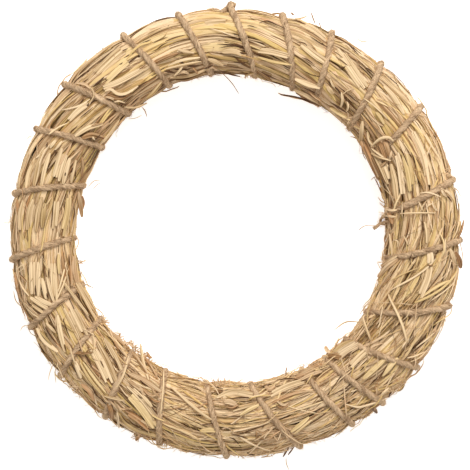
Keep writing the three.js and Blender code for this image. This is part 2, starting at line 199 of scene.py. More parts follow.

# Blades, strips, fibres and dark gaps that the photograph shows one by one. Each has its colour, its
# width and its height above the straw in mm, and its route in the photograph's pixels.
# The gaps among these are dark strands of painted shade, laid where blades meet and overlap
PLACED = [
    # Right, from the first turn to the second
    ("dim", 3, 2.5, (379, 142), (383, 150), (386, 159)),
    ("brown", 2.6, 2.6, (384, 140), (387, 147), (389, 156)),
    ("dim", 2.4, 2.3, (377, 147), (381, 154), (385, 160)),
    ("shade_gap", 1, 2.9, (382, 141), (387, 141), (390, 143)),
    ("pale", 1.6, 3.6, (366, 150), (379, 157), (391, 160.5)),
    ("pale", 1.3, 3.6, (371, 148), (379, 154), (387, 160)),
    ("pink", 1.4, 3, (391.5, 151), (390.5, 156), (388, 161)),
    ("pale", 1.5, 4.2, (371, 147), (376, 142), (382, 138), (389, 137.5), (393, 141)),
    ("pale", 1.2, 3.2, (374, 147), (369, 141), (367, 132)),
    ("pale", 2.4, 3, (362.5, 121), (361.5, 132), (360.5, 144)),
    ("brown", 3.4, 3.4, (364, 140), (373, 160), (383, 184)),
    ("dim", 3, 3, (368, 148), (376, 163), (386, 183)),
    ("brown", 2.8, 3.4, (360, 140), (369, 158), (379, 180)),
    ("straw", 2.6, 2.8, (372, 150), (380, 165), (388, 184)),
    ("brown", 1.6, 3.2, (377, 168), (381, 166), (387, 161)),
    ("pale", 3.6, 1.2, (384, 163), (388, 171), (391, 182)),
    ("shade_gap", 1.3, 1.8, (388.4, 166), (389.2, 169), (389.2, 172)),
    ("pale", 0.6, 0, (360.5, 144), (364, 153), (369, 161.5)),
    ("straw", 0.5, 0, (361, 145), (363, 154), (366, 160)),
    ("dim", 0.6, 0.5, (374, 177), (379, 187), (384, 200)),
    ("pale", 0.5, 0.5, (376, 178), (380, 190), (386, 203)),
    ("pink", 0.5, 0, (371, 180), (375, 177), (378, 180)),
    ("straw", 0.6, 0, (378, 197), (381, 201), (386, 204)),
    ("straw", 0.6, 0, (379.5, 203), (383, 206), (387, 209)),
    ("white", 3.6, 0.4, (396, 150), (400, 168), (403, 194)),
    ("yellow", 5, 0.4, (403, 148), (409, 170), (412, 191)),
    ("straw", 3.2, 0.8, (391, 164), (395, 182), (397, 202)),
    ("pale", 3.4, 0.6, (413, 132), (423, 155), (428, 185)),
    ("pale", 1.2, 1.4, (424, 134), (431, 145), (441, 161)),
    ("pale", 0.8, 1.4, (431, 145), (428, 152), (425, 159)),
    ("shade_gap", 1.3, 0.8, (411, 152), (414, 159), (416, 168)),
    ("shade_gap", 1, 0.8, (400, 146), (405, 158), (410, 170)),
    ("shade_gap", 1.4, 0.8, (429, 152), (430, 157), (431, 161)),
    ("shade_gap", 1.3, 0.8, (433, 135), (435, 137), (436, 140)),
    ("white", 0.9, 3, (420, 193), (427, 192.3), (434, 194), (441, 197)),
    ("white", 1.2, 2.2, (441, 187), (443, 193), (447, 197)),
    ("white", 1.4, 1.8, (444, 190), (449, 193), (453, 199)),
    ("shade_gap", 1.6, 1.2, (446, 195), (449, 198), (452, 202)),
    ("pale", 0.9, 1.6, (420, 212), (423, 206), (427, 200)),
    ("pale", 0.9, 1.6, (417, 199), (421, 206), (424, 212)),
    ("white", 1, 1.6, (432, 201), (434, 207), (438, 211)),
    ("pale", 0.8, 1.6, (426, 209), (429, 205), (434, 203)),
    ("pale", 0.9, 1.6, (400, 213.5), (416, 213), (436, 213)),
    # Right, from the knot to the last turn
    ("shade_gap", 2, 1.4, (391, 200), (391.5, 204), (392, 208)),
    ("shade_gap", 2, 1.4, (390, 218), (391, 223), (391.5, 230)),
    ("pale", 1.3, 2.6, (387, 209.5), (392, 210.5), (397, 210)),
    ("pale", 1.3, 2.6, (386, 216), (391, 216.5), (396, 217)),
    ("brown", 2.6, 1.6, (388, 213), (391, 218), (392, 224)),
    ("pink", 0.7, 0, (388.5, 229), (384.5, 238), (386, 247)),
    ("pale", 1.2, 2.6, (389.5, 234), (391, 245), (392, 256)),
    ("pale", 0.7, 2, (392, 242), (395, 240), (398, 242), (397, 247)),
    ("pale", 0.9, 1.4, (403, 235), (406, 240), (408, 245)),
    ("brown", 1, 1.6, (399, 249), (402, 243), (404, 237)),
    ("pale", 2.2, 2.4, (425, 222), (427, 232), (427, 243)),
    ("shade_gap", 1.2, 0.9, (422, 216), (422.5, 224), (424, 232)),
    ("shade_gap", 1.6, 0.9, (444, 226), (444.5, 229), (445, 233)),
    ("white", 0.9, 2.6, (445, 238), (445, 246), (446, 255)),
    ("white", 3.8, 0.9, (429, 249), (430.5, 257), (430, 263.5)),
    ("pale", 4.2, 0.9, (430, 266.5), (427, 280), (420, 297)),
    ("dim", 0.8, 1.6, (427.5, 264.6), (430, 265.6), (433, 265)),
    ("pink", 2.8, 1.2, (378, 277), (387, 267), (398, 259)),
    ("pale", 2.2, 1.2, (381, 266), (389, 261), (397, 256)),
    ("shade_gap", 1.2, 0.9, (412, 252), (411, 256), (409, 260)),
    ("shade_gap", 1.2, 0.9, (422, 272), (420, 278), (417, 284)),
    ("shade_gap", 1.8, 0.9, (451, 262), (452, 266), (452, 270)),
    ("pale", 2.4, 1.4, (450, 249), (453, 256), (455, 264)),
    ("brown", 3, 0.6, (455, 252), (459, 260), (461, 268)),
    ("yellow", 1.7, 1.4, (449.5, 280.5), (438, 286), (420, 298)),
    ("dim", 1.3, 1, (457, 240), (461, 231), (464, 220)),
    ("straw", 0.6, 0, (459, 269), (456, 284), (449, 296)),
    ("straw", 0.5, 0, (459, 240), (462, 251), (463, 262)),
    ("straw", 0.6, 0, (446, 187), (456, 189), (461, 197)),
    ("pale", 0.5, 0, (377, 262), (380, 268), (383, 272)),
    # Lower right
    ("white", 6.2, 1.4, (337, 357), (347, 350), (361, 342)),
    ("yellow", 2.8, 0.8, (334, 352), (343, 345), (354, 341)),
    ("straw", 1, 0.6, (332, 351), (336, 344), (339, 338)),
    ("pink", 2.2, 0.6, (330, 353), (327, 350), (325, 346)),
    ("dim", 3.4, 1, (327, 358), (333, 356), (341, 358)),
    ("shade_gap", 1.2, 1, (341, 360), (347, 355), (352, 351)),
    ("pale", 4, 0.8, (349, 368), (357, 359), (368, 349)),
    ("yellow", 3, 0.8, (363, 379), (373, 370), (388, 356)),
    ("yellow", 3, 0.8, (382, 376), (390, 366), (398, 358)),
    ("shade_gap", 1.5, 1.2, (379, 378), (382, 374), (388, 364)),
    ("shade_gap", 1.2, 1.2, (360, 371), (362, 369), (365, 366)),
    ("shade_gap", 1.3, 1, (369, 386), (374, 381), (379, 376)),
    ("shade_gap", 1.8, 1.2, (349, 410), (353, 408), (358, 406)),
    ("shade_gap", 1.3, 1.2, (356, 414), (359, 411), (363, 408)),
    ("shade_gap", 1.2, 1, (333, 395), (340, 391), (351, 387)),
    ("white", 1.1, 2.2, (345, 404), (358, 407), (371, 404), (387, 399)),
    ("pale", 1.3, 2.2, (380, 397), (384, 392), (389, 388)),
    ("pink", 1.2, 2, (376, 387), (377, 392), (375, 397)),
    ("olive", 2.2, 0.4, (397, 391), (401, 388), (404, 384)),
    ("dim", 2.2, 0.2, (370, 407), (374, 409), (377, 413)),
    ("brown", 1.6, 0.2, (372, 411), (375, 407), (380, 404)),
    ("shade_gap", 1.6, 0.6, (389, 398), (390, 394), (392, 391)),
    ("pale", 0.9, 1.6, (407, 358), (415, 356), (424, 352)),
    ("pale", 0.8, 1.4, (410, 362), (420, 357), (428, 349)),
    ("shade_gap", 1.3, 1, (409, 341), (412, 334), (416, 326)),
    ("pale", 0.8, 1.4, (334, 330), (346, 322), (360, 322)),
    # Bottom
    ("brown", 2.6, 1.2, (296, 377), (308, 371), (322, 364)),
    ("pink", 2.2, 1.8, (300, 380), (311, 374.5), (322, 371)),
    ("brown", 1.2, 1.6, (304, 373), (312, 367), (321, 362)),
    ("shade_gap", 1.2, 2, (306, 377), (313, 373.5), (320, 372)),
    ("pale", 4.2, 0.5, (217, 399), (234, 392.5), (256, 396)),
    ("shade_gap", 1.8, 1.2, (228, 399), (241, 397.5), (253, 398)),
    ("pink", 3, 1.2, (224, 402), (230, 402), (237, 405)),
    ("dim", 1.4, 1.7, (226, 407), (232, 408), (239, 405)),
    ("yellow", 2.2, 1.4, (240, 415), (250, 409), (259, 405)),
    ("pale", 1.6, 1.2, (233, 411), (246, 407), (257, 403)),
    ("pale", 4, 0.8, (270, 395), (286, 387), (304, 381)),
    ("brown", 1.6, 0.8, (272, 403), (290, 395), (306, 391)),
    ("shade_gap", 1.3, 1, (277, 380), (287, 378.5), (298, 379)),
    ("pink", 2.4, 1.4, (265, 386), (270, 389), (275, 386)),
    ("shade_gap", 1.3, 1.5, (262, 386), (267, 385), (272, 384)),
    ("pink", 1.6, 1.4, (277, 401), (283, 405), (289, 404)),
    ("dim", 1.2, 1.4, (276, 405), (283, 408), (290, 403)),
    ("yellow", 2.2, 1.2, (291, 432), (301, 424), (309, 417)),
    ("yellow", 1.6, 1.4, (294, 434), (303, 427), (312, 420)),
    ("shade_gap", 2, 1.2, (299, 429), (304, 427), (309, 425)),
    ("shade_gap", 1.6, 0.9, (231, 434), (240, 436), (251, 440)),
    ("shade_gap", 1.4, 0.8, (229, 437), (235, 440), (241, 447)),
    ("shade_gap", 1.8, 0.2, (246, 452), (250, 454), (255, 455)),
    ("brown", 0.9, 1.8, (256, 431), (256.5, 435), (256, 439)),
    ("brown", 0.9, 1.8, (257, 431), (263, 432.5), (269, 429)),
    ("pink", 0.9, 1.8, (254, 441), (262, 436), (268, 431)),
    ("pink", 1, 1.8, (262, 442), (266, 435), (273, 428)),
    ("brown", 0.9, 1.8, (268, 441), (274, 435), (282, 430)),
    ("pink", 0.8, 1.8, (273, 432), (275, 438), (280, 443)),
    ("dim", 1.2, 1.6, (257, 437), (262, 439), (266, 437)),
    ("pink", 0.9, 2.6, (280, 424), (285, 430), (287, 436)),
    ("straw", 0.7, 0.2, (271, 451), (267, 456), (261, 457.5)),
    ("dim", 0.9, 0, (288.5, 447), (286, 452), (283, 457)),
    ("dim", 0.8, 0, (294, 447), (291, 451), (288, 455)),
    ("straw", 0.5, 0, (262, 457), (271, 456), (280, 450)),
    ("straw", 0.5, 0, (286, 458), (286.5, 464), (289, 470)),
    ("straw", 0.5, 0, (199, 455), (205, 455), (212, 451)),
    ("straw", 0.6, 0, (241, 452), (239, 456), (238, 458)),
    ("dim", 1.4, 1, (214, 391), (218, 390.5), (223, 391)),
    ("dim", 0.7, 0, (286, 375), (286, 371), (287, 367)),
    ("yellow", 2.6, 0.8, (200, 431), (209, 430), (219, 431)),
    ("shade_gap", 1.3, 0.8, (200, 425), (209, 424), (217, 423)),
    # Lower left
    ("yellow", 5.2, 0.6, (126, 392), (140, 406), (155, 427)),
    ("pale", 3.4, 1.4, (128, 385), (143, 400), (160, 423)),
    ("olive", 2.8, 1.2, (118, 412), (132, 427), (162, 438)),
    ("brown", 3.8, 1, (124, 411), (139, 420), (155, 434)),
    ("shade_gap", 1.4, 1.6, (129, 421), (138, 427), (151, 433)),
    ("shade_gap", 1.3, 1.4, (121, 415), (125, 420), (131, 425)),
    ("pink", 3.2, 1.2, (128, 373), (143, 380), (161, 392)),
    ("pink", 2.2, 1.8, (130, 382), (139, 388), (148, 396)),
    ("pale", 2.2, 2, (142, 395), (147, 401), (152, 407)),
    ("brown", 1.3, 2.2, (138, 391), (143, 389), (148, 394), (153, 396), (159, 393)),
    ("pink", 1.2, 2.2, (136, 387), (141, 390), (144, 396)),
    ("brown", 1.1, 2, (150, 398), (155, 401), (161, 402)),
    ("pink", 1.2, 2, (152, 388), (155, 393), (161, 398)),
    ("shade_gap", 1.4, 1.8, (139, 379), (143, 383), (148, 386)),
    ("shade_gap", 1.2, 2.4, (146, 395), (150, 400), (153, 402)),
    ("shade_gap", 1, 2.4, (137, 394), (140, 397), (143, 399)),
    ("shade_gap", 1.2, 1.6, (150, 405), (154, 410), (158, 416)),
    ("pale", 1.7, 1.4, (140.5, 344), (143, 361), (148.5, 380)),
    ("pink", 1.6, 1.2, (132, 352), (141, 364), (150, 378)),
    ("brown", 1.3, 1.2, (145, 358), (151, 366), (158, 379)),
    ("brown", 1.4, 0.8, (147, 352), (149, 356), (152, 358)),
    ("pink", 2, 0.4, (112, 333), (118, 338), (124, 345)),
    ("brown", 1.6, 1, (114, 341), (119, 349), (125, 356)),
    ("shade_gap", 1.3, 1.2, (117, 346), (120, 351), (124, 356)),
    ("pale", 1.2, 2.4, (128.5, 356), (122.5, 377), (111, 395)),
    ("pale", 1.6, 2.6, (104, 396), (114, 398.5), (125, 401)),
    ("pink", 1, 2.6, (109, 400), (114, 405), (119, 411)),
    ("pink", 0.9, 2, (117, 404), (122, 409), (132, 408)),
    ("brown", 0.9, 2, (122, 411), (127, 408), (134, 411)),
    ("white", 1.4, 1.6, (117, 411), (118, 419), (119, 428)),
    ("dim", 3, 2.4, (108, 403), (111, 411), (112, 419)),
    ("pale", 5.6, 0.5, (92, 347), (102, 366), (110, 384)),
    ("pale", 2.8, 1, (104, 338), (114, 355), (124, 374)),
    ("straw", 3.2, 1, (97, 341), (108, 362), (119, 387)),
    ("shade_gap", 1.2, 1.2, (104, 345), (107, 351), (110, 357)),
    ("shade_gap", 1.2, 1.2, (99, 358), (102, 364), (105, 370)),
    ("shade_gap", 1.2, 1.2, (113, 357), (116, 363), (119, 369)),
    ("yellow", 1.5, 1.6, (80, 363), (91, 381), (107, 400)),
    ("yellow", 1.4, 1.6, (83, 362), (94, 378), (106, 393)),
    ("white", 2.6, 1.2, (75, 361), (78, 369), (81, 378)),
    ("shade_gap", 1.8, 1.4, (86, 356), (89, 361), (92, 367)),
    ("dim", 1.2, 2.6, (80, 354), (86, 353.5), (93, 352)),
    ("dim", 0.8, 2.6, (85, 354), (88, 350.5), (91, 349)),
    ("dim", 1.6, 1.4, (72, 353), (79, 353), (86, 354)),
    ("shade_gap", 1.8, 1.2, (92, 386), (95, 393), (100, 399)),
    ("shade_gap", 1.5, 1.2, (99, 397), (103, 401), (107, 405)),
    ("brown", 2.4, 0.8, (81, 384), (90, 392), (94, 401)),
    ("straw", 0.4, 0, (72, 383), (75, 392), (84, 396)),
    ("pale", 0.9, 1, (73, 375), (76, 379), (82, 381)),
    ("straw", 1.8, 0.2, (134, 434), (139, 436), (146, 435)),
    ("brown", 1.5, 0, (136, 441), (138, 437), (141, 433)),
    ("pale", 0.5, 0, (54, 362), (50, 372), (48, 381)),
    ("pale", 0.5, 0, (57, 364), (55, 373), (56, 383)),
    ("shade_gap", 1.8, 1, (63, 340), (65, 347), (66, 352)),
    ("shade_gap", 1.2, 1, (61, 361), (63, 365), (65, 369)),
    # Left, between the 12th and the 14th turn
    ("pale", 4.2, 1, (32.5, 262), (32.5, 278), (33.5, 297)),
    ("pale", 2.7, 1.1, (38.3, 262), (38.3, 280), (38.3, 296)),
    ("pale", 2.4, 1.3, (42, 278), (44, 288), (46, 299)),
    ("straw", 2.2, 1.3, (47, 277), (50, 289), (54, 302)),
    ("pale", 4, 1, (53, 256), (54, 280), (55.5, 304)),
    ("yellow", 1.8, 1.2, (58.5, 254), (58.5, 264), (59, 274)),
    ("shade_gap", 1.2, 1.4, (35.3, 285), (35.3, 290), (35.5, 295)),
    ("shade_gap", 1.3, 1.5, (41, 284), (42, 290), (44.5, 297)),
    ("shade_gap", 1.6, 1.6, (46.6, 292), (47.4, 296), (48.6, 299)),
    ("shade_gap", 1.3, 1.2, (49, 268), (48.8, 273), (49, 278)),
    ("pale", 3, 1.6, (30.5, 297.5), (40, 303.5), (50, 310)),
    ("pale", 2.4, 1.7, (35, 296.5), (44, 301.5), (54, 306)),
    ("straw", 2, 1.4, (30, 303), (38, 309), (46, 315)),
    ("shade_gap", 1.6, 1.8, (26.5, 300.5), (29.5, 304), (33, 306)),
    ("shade_gap", 1.2, 1.8, (34, 307), (38, 311), (41.5, 315)),
    ("pink", 1.2, 1.8, (25, 303), (33, 311), (41, 318)),
    ("pale", 1.3, 1.6, (27, 308), (34, 314), (42, 319)),
    ("pale", 0.9, 1.8, (16, 271), (19.5, 267), (24, 265), (23, 269), (19, 272)),
    ("pale", 0.9, 1.8, (21, 262), (24, 267), (25, 274)),
    ("dim", 1.2, 1.4, (20, 275), (23, 278), (27, 283)),
    ("straw", 1.2, 1.6, (19, 279), (23, 288), (29, 296)),
    ("shade_gap", 1.2, 1.2, (22, 284), (24, 290), (27, 295)),
    ("brown", 1.8, 1, (15, 272), (16.5, 284), (20, 299)),
    ("straw", 0.6, 0, (13.5, 291), (16, 301), (23, 308)),
    ("straw", 0.5, 0, (20, 331), (23, 326.5), (29, 325)),
    ("brown", 1.8, 1.2, (62, 256), (63.5, 268), (66, 281)),
    ("brown", 1.8, 1.2, (69.5, 254), (70.5, 270), (72, 286)),
    ("shade_gap", 1.1, 1.5, (69, 255), (69.5, 262), (70, 268)),
    ("pale", 1.2, 1.8, (66, 262), (62.5, 276), (58, 292)),
    ("pale", 1.2, 1.8, (68, 270), (63, 286), (55, 303)),
    ("pink", 2.6, 1.4, (74, 256), (74.5, 270), (77, 284)),
    ("pale", 1.9, 2.4, (76, 283), (84, 298), (95, 318)),
    ("straw", 2.4, 1.6, (78, 282), (87, 297), (96, 312)),
    ("straw", 0.6, 0, (81, 284.5), (87, 285), (93.5, 288)),
    ("pale", 8.4, 0.4, (68, 306), (76, 322), (83, 337)),
    ("pale", 2.8, 1.5, (57.5, 315), (60, 331), (65, 352)),
    ("pale", 2.8, 1.3, (37, 328), (44, 340), (58, 352)),
    ("pale", 1.6, 1.6, (46, 323), (51, 328), (56, 333)),
    ("shade_gap", 1.8, 1.3, (45, 327), (50, 335), (57, 344)),
    ("shade_gap", 1.2, 1.3, (63, 318), (66, 328), (70, 338)),
    ("olive", 1.4, 1.2, (40, 331), (45, 337), (52, 346)),
    ("shade_gap", 1.2, 1.5, (84, 296), (86, 300), (89, 305)),
    # Upper left
    ("pale", 6.4, 0.4, (65, 149), (60, 165), (55, 183)),
    ("pale", 3.8, 0.9, (57, 197), (56, 212), (54, 232)),
    ("yellow", 3.8, 0.9, (69, 198), (67, 214), (62, 236)),
    ("pale", 5.2, 0.4, (35, 200), (31, 212), (29, 230)),
    ("straw", 3, 0.9, (44, 150), (38, 168), (34, 186)),
    ("pale", 2.4, 1, (50, 153), (45, 168), (41, 187)),
    ("straw", 2.6, 0.8, (35, 158), (29, 173), (26, 188)),
    ("pale", 3, 0.9, (70, 158), (66, 170), (63, 184)),
    ("straw", 2.2, 0.9, (76, 160), (73, 172), (71, 183)),
    ("pale", 3.2, 0.8, (24, 200), (21, 214), (20, 230)),
    ("straw", 3, 0.7, (42, 197), (38, 212), (36, 232)),
    ("shade_gap", 1.6, 1.4, (47.2, 142), (47, 145), (47, 148)),
    ("shade_gap", 1.8, 1.4, (55.5, 150), (56, 152.5), (55, 156)),
    ("pale", 1.8, 1.4, (50, 148), (53, 144), (56, 140)),
    ("pale", 1.6, 1.4, (55, 150), (59, 145), (62, 141)),
    ("shade_gap", 1.6, 1.4, (66, 170), (65.3, 174), (64.5, 178)),
    ("shade_gap", 1.3, 1.4, (73.3, 167), (72, 170), (71, 173)),
    ("shade_gap", 1.6, 1.4, (75.5, 170), (75.3, 174), (75, 178)),
    ("shade_gap", 1.1, 1.1, (60, 177), (62, 171), (66, 164)),
    ("brown", 3.2, 1.6, (82, 138), (92, 135), (104, 138)),
    ("shade_gap", 2.2, 2.2, (88.5, 136), (90, 138), (92, 139)),
    ("shade_gap", 1.3, 2.2, (95, 140), (98, 137), (100.5, 134.5)),
    ("white", 1.1, 2.4, (91, 135), (93, 138), (95, 140)),
    ("pale", 2.6, 1.8, (74, 137), (88, 128), (103, 124)),
    ("dim", 0.9, 2.2, (86, 129), (95, 125), (103, 123)),
    ("olive", 3, 1.2, (45, 203), (43.5, 214), (42, 228)),
    ("shade_gap", 1.1, 1.3, (46, 202), (43, 209), (41, 215)),
    ("brown", 1.7, 1.2, (82, 157), (82.8, 166), (81.5, 177)),
    ("pink", 2.4, 1.4, (78.5, 192), (80.5, 204), (82, 217)),
    ("brown", 2, 0.8, (82, 196), (83, 203), (82, 210)),
    ("shade_gap", 1.3, 1.2, (74, 206), (74.5, 213), (73, 221)),
    ("shade_gap", 1.1, 1.2, (53, 203), (52.5, 215), (51, 228)),
    ("brown", 1.6, 0.8, (17, 199), (17.7, 208), (18, 218)),
    ("straw", 0.5, 0, (88, 187), (94, 181), (102, 180)),
    ("straw", 0.4, 0, (92, 190), (97, 185), (102, 182)),
    ("straw", 0.5, 0, (26, 140), (29, 137), (32, 136)),
    ("straw", 0.4, 0, (13, 222), (8, 222), (3, 223)),
    ("pale", 1, 3, (88, 86), (92.5, 90), (93.6, 96), (89, 105)),
    ("pink", 1.6, 2.4, (76, 83), (85, 84.5), (92, 90)),
    ("shade_gap", 2.6, 1.2, (93, 87), (98, 83), (104, 77)),
    ("pale", 7.4, 0.4, (94, 77), (112, 60), (127, 47)),
    ("yellow", 3.6, 1.2, (104, 84), (117, 71), (133, 58)),
    ("pale", 3.4, 1.2, (97, 90), (118, 82), (144, 68)),
    ("shade_gap", 1.4, 1.6, (117, 67), (121, 64), (125, 61.5)),
    ("shade_gap", 1.2, 1.4, (124, 58), (129, 55), (134, 53)),
    ("dim", 3.2, 1.4, (107, 95), (118, 98), (131, 93)),
    ("shade_gap", 1.4, 2, (116, 96), (122, 97), (130, 95)),
    ("pale", 1.7, 3, (105, 91), (111, 89.5), (118, 94), (127, 93), (138, 86)),
    ("pink", 1.4, 2, (106, 97), (111, 98), (116, 101)),
    ("pale", 1, 2.4, (114, 102), (119, 101), (125, 103)),
    ("shade_gap", 1.8, 2, (119, 103), (123, 104), (127, 104)),
    ("shade_gap", 1.6, 1.6, (131, 105), (135, 101), (139, 97)),
    ("shade_gap", 1.5, 1.4, (137, 88), (142, 84.5), (147, 81)),
    ("shade_gap", 1.3, 1.2, (140, 44), (145, 42), (151, 39.5)),
    ("shade_gap", 1.2, 1.2, (155, 51), (161, 46), (168, 42)),
    ("olive", 2.4, 1.2, (147, 98), (154, 92), (162, 82)),
    ("pale", 1.2, 1.2, (124, 107), (136, 107.5), (147, 103)),
    ("dim", 0.6, 0, (142, 107), (145, 111), (147, 117)),
    ("straw", 0.4, 0, (128, 119), (136, 118), (142, 115)),
    ("white", 1, 1.6, (62, 110), (72, 108), (81, 105), (90, 99)),
    ("pale", 3.4, 1.2, (69, 120), (79, 110), (90, 103)),
    ("shade_gap", 1.2, 1.4, (80, 104), (82, 101), (84, 98)),
    ("shade_gap", 1.1, 1.2, (80, 118), (86, 113), (93, 107)),
    # Top
    ("shade_gap", 2.6, 1.6, (164, 71), (169, 71.5), (175, 73)),
    ("shade_gap", 2.2, 1.8, (174, 61.5), (180, 62), (187, 64.5)),
    ("shade_gap", 2.4, 1.8, (186, 65.5), (193, 66), (201, 65)),
    ("shade_gap", 2, 1.6, (173, 69), (181, 69.5), (190, 69)),
    ("shade_gap", 1.6, 1.6, (204, 69), (208, 67.5), (213, 65)),
    ("pale", 1.8, 2.2, (178, 49.5), (185, 51.5), (194, 53)),
    ("pale", 1.6, 2.4, (168, 65.5), (183, 60), (200, 57.5)),
    ("straw", 1.5, 2.2, (166, 69), (183, 65), (201, 61.5)),
    ("straw", 1.8, 1, (170, 78), (190, 75.5), (210, 68)),
    ("pink", 1.6, 2.4, (179, 73), (184, 72), (189, 74)),
    ("brown", 1.4, 2.4, (192, 67), (195, 70), (198, 74)),
    ("pale", 1.2, 2.6, (174, 76), (180, 70), (184, 63)),
    ("dim", 2.2, 0.8, (176, 80), (188, 79), (203, 73)),
    ("shade_gap", 1.1, 1.2, (214, 65), (228, 66), (243, 69)),
    ("shade_gap", 1.7, 0.8, (222, 71.5), (231, 74.5), (241, 77)),
    ("shade_gap", 1.5, 1.2, (259, 23), (267, 21), (275, 24), (284, 28)),
    ("shade_gap", 1.2, 1.2, (247, 26), (251, 26), (257, 28)),
    ("shade_gap", 2, 1.2, (239, 52), (242, 53), (246, 54)),
    ("shade_gap", 1.5, 1.2, (234, 62), (241, 63), (248, 62)),
    ("shade_gap", 1, 1, (261, 60), (275, 63), (292, 66)),
    ("shade_gap", 1.6, 1.2, (259, 71), (267, 75), (276, 79)),
    ("shade_gap", 1.1, 1, (219, 48), (227, 46.5), (235, 46.5)),
    ("shade_gap", 1, 1, (233, 38), (237, 38.5), (240, 38)),
    ("shade_gap", 1, 1, (218, 70), (229, 74), (240, 77)),
    ("pale", 2.6, 1.8, (208, 59), (216, 62), (224, 66)),
    ("pale", 3.8, 1, (256, 50), (272, 52), (291, 57)),
    ("pale", 4, 0.5, (200, 25), (216, 23), (230, 22)),
    ("straw", 3.2, 1, (222, 52), (233, 51), (246, 56)),
    ("yellow", 1.6, 1, (258, 57), (274, 62), (292, 65)),
    ("pink", 1.4, 1, (207, 70), (212, 67), (217, 70)),
    ("dim", 0.5, 0, (219, 70), (231, 82), (239, 94)),
    ("straw", 0.5, 0, (208, 7), (212, 7), (216, 10)),
    ("dim", 1, 0, (291, 12.5), (292.5, 14), (294, 15)),
    ("straw", 0.8, 0, (296, 18.5), (302, 18), (307, 16)),
    ("dim", 0.7, 0, (311, 12), (313, 18), (315, 23)),
    ("dim", 0.6, 0, (319, 22), (320, 25), (321, 28)),
    ("pink", 1, 0.2, (286, 95.5), (296, 98), (306, 99.5)),
    ("straw", 2.4, 1.6, (294, 90), (306, 95.5), (318, 103)),
    ("dim", 2.2, 1.2, (296, 92.5), (308, 98), (321, 106)),
    ("brown", 1.6, 0.6, (300, 96), (309, 100), (319, 107)),
    ("pale", 1.4, 0.4, (245, 76), (250, 74), (254, 73)),
    # Upper right
    ("shade_gap", 1.8, 1.4, (339, 68), (343, 67.6), (345.5, 66.5)),
    ("pale", 6.6, 0.4, (338, 49), (352, 70), (367, 92)),
    ("pale", 4.4, 0.9, (302, 44), (314, 54), (327, 63)),
    ("pale", 3.4, 0.9, (300, 24), (315, 31), (329, 42)),
    ("shade_gap", 1.3, 1.2, (310, 36), (320, 43), (329, 48)),
    ("shade_gap", 1.3, 1.2, (302, 57.5), (308, 60), (315, 65)),
    ("shade_gap", 1.2, 1.2, (297, 42.5), (304, 43), (308, 47), (312, 51)),
    ("shade_gap", 1.2, 1, (304, 71), (312, 75), (321, 77)),
    ("shade_gap", 1.2, 1.2, (347, 43), (353, 49), (359, 55)),
    ("shade_gap", 1.5, 1.2, (366, 67.5), (370, 70), (374, 74)),
    ("shade_gap", 1, 1, (385, 74), (392, 80), (399, 86)),
    ("shade_gap", 1, 1, (351, 64), (357, 72), (362, 80)),
    ("pale", 2.4, 2.4, (327, 86), (330, 90), (333.5, 94)),
    ("pale", 1, 2, (330.5, 79), (332, 84), (335, 88)),
    ("shade_gap", 1.8, 1.6, (334, 86), (338, 90), (342, 96)),
    ("pale", 1.5, 2.2, (341.5, 92), (342.5, 100), (341, 107)),
    ("pale", 1.3, 2, (347, 101), (348, 107), (346, 112)),
    ("pale", 0.8, 1.8, (343, 94), (348, 90.5), (354, 89)),
    ("shade_gap", 2.2, 1.6, (330, 102), (338, 107), (347, 113)),
    ("shade_gap", 1.3, 1.8, (343, 96), (346, 100), (349.5, 102)),
    ("yellow", 2.2, 1, (330, 108), (340, 114), (350, 120)),
    ("pale", 2.8, 1.2, (295, 79), (307, 84), (320, 88)),
    ("shade_gap", 1.4, 1.2, (304, 88), (311, 91), (319, 95)),
    ("brown", 1.8, 1, (308, 90), (314, 96), (321, 101)),
    ("straw", 0.6, 0, (357, 38), (362, 41.5), (368, 41)),
    ("olive", 2.2, 1, (376, 112), (380, 117), (384, 124)),
    ("pale", 3, 1, (384, 86), (394, 97), (404, 114)),
]

# Tufts of short fibres: where they grow, how many pixels wide, the way they point and how far they
# spread in degrees (0 to the right, 90 up), their length in mm and how many there are
TUFTS = {
    "inner_bottom": ((219, 386, 0), 9, 95, 42, 9, 34),
    "inner_bottom_right": ((322, 368, 0), 6, 118, 34, 8, 18),
    "inner_bottom_right_edge": ((312, 368, 0), 12, 112, 50, 6, 26),
    "bud_bottom_left": ((137, 430, 0.5), 2, 268, 22, 7, 9),
    "inner_right": ((386, 262, 0), 6, 175, 36, 7, 18),
    "knot_fibres": ((388, 214, 0), 5, 150, 40, 7, 18),
    "inner_left": ((79, 262, 0), 3, 5, 30, 6, 8),
    "inner_top_right": ((352, 118, 0.5), 6, 225, 36, 7, 16),
    "inner_top": ((249, 75, 0), 8, 280, 40, 3, 12),
    "inner_left_clump_a": ((121, 338, 0), 9, 45, 50, 4, 26),
    "inner_left_clump_b": ((134, 348, 0), 9, 45, 50, 5, 34),
    "inner_left_clump_c": ((146, 358, 0), 9, 45, 50, 5, 36),
    "inner_left_clump_d": ((162, 374, 0), 9, 70, 40, 4, 18),
    "by_the_14th_turn": ((104, 322, 0), 5, 20, 60, 5, 24),
    "outer_left_clump": ((76, 384, 0), 8, 215, 50, 5, 26),
    "bit_bottom_left": ((137, 436, 0), 3, 255, 60, 5, 18),
    "outer_bottom_right": ((394, 380, 0), 8, 315, 34, 8, 18),
    "outer_right": ((451, 262, 0), 8, 350, 30, 6, 14),
    "outer_right_high": ((446, 176, 0), 5, 20, 34, 7, 14),
    "outer_bottom": ((262, 450, 0), 9, 270, 34, 7, 16),
    "outer_bottom_left": ((172, 444, 0), 8, 262, 30, 6, 12),
    "over_twine_right": ((441, 190, 1.5), 6, 60, 90, 8, 18),
    "over_twine_bottom": ((278, 432, 1.2), 8, 20, 70, 8, 26),
}

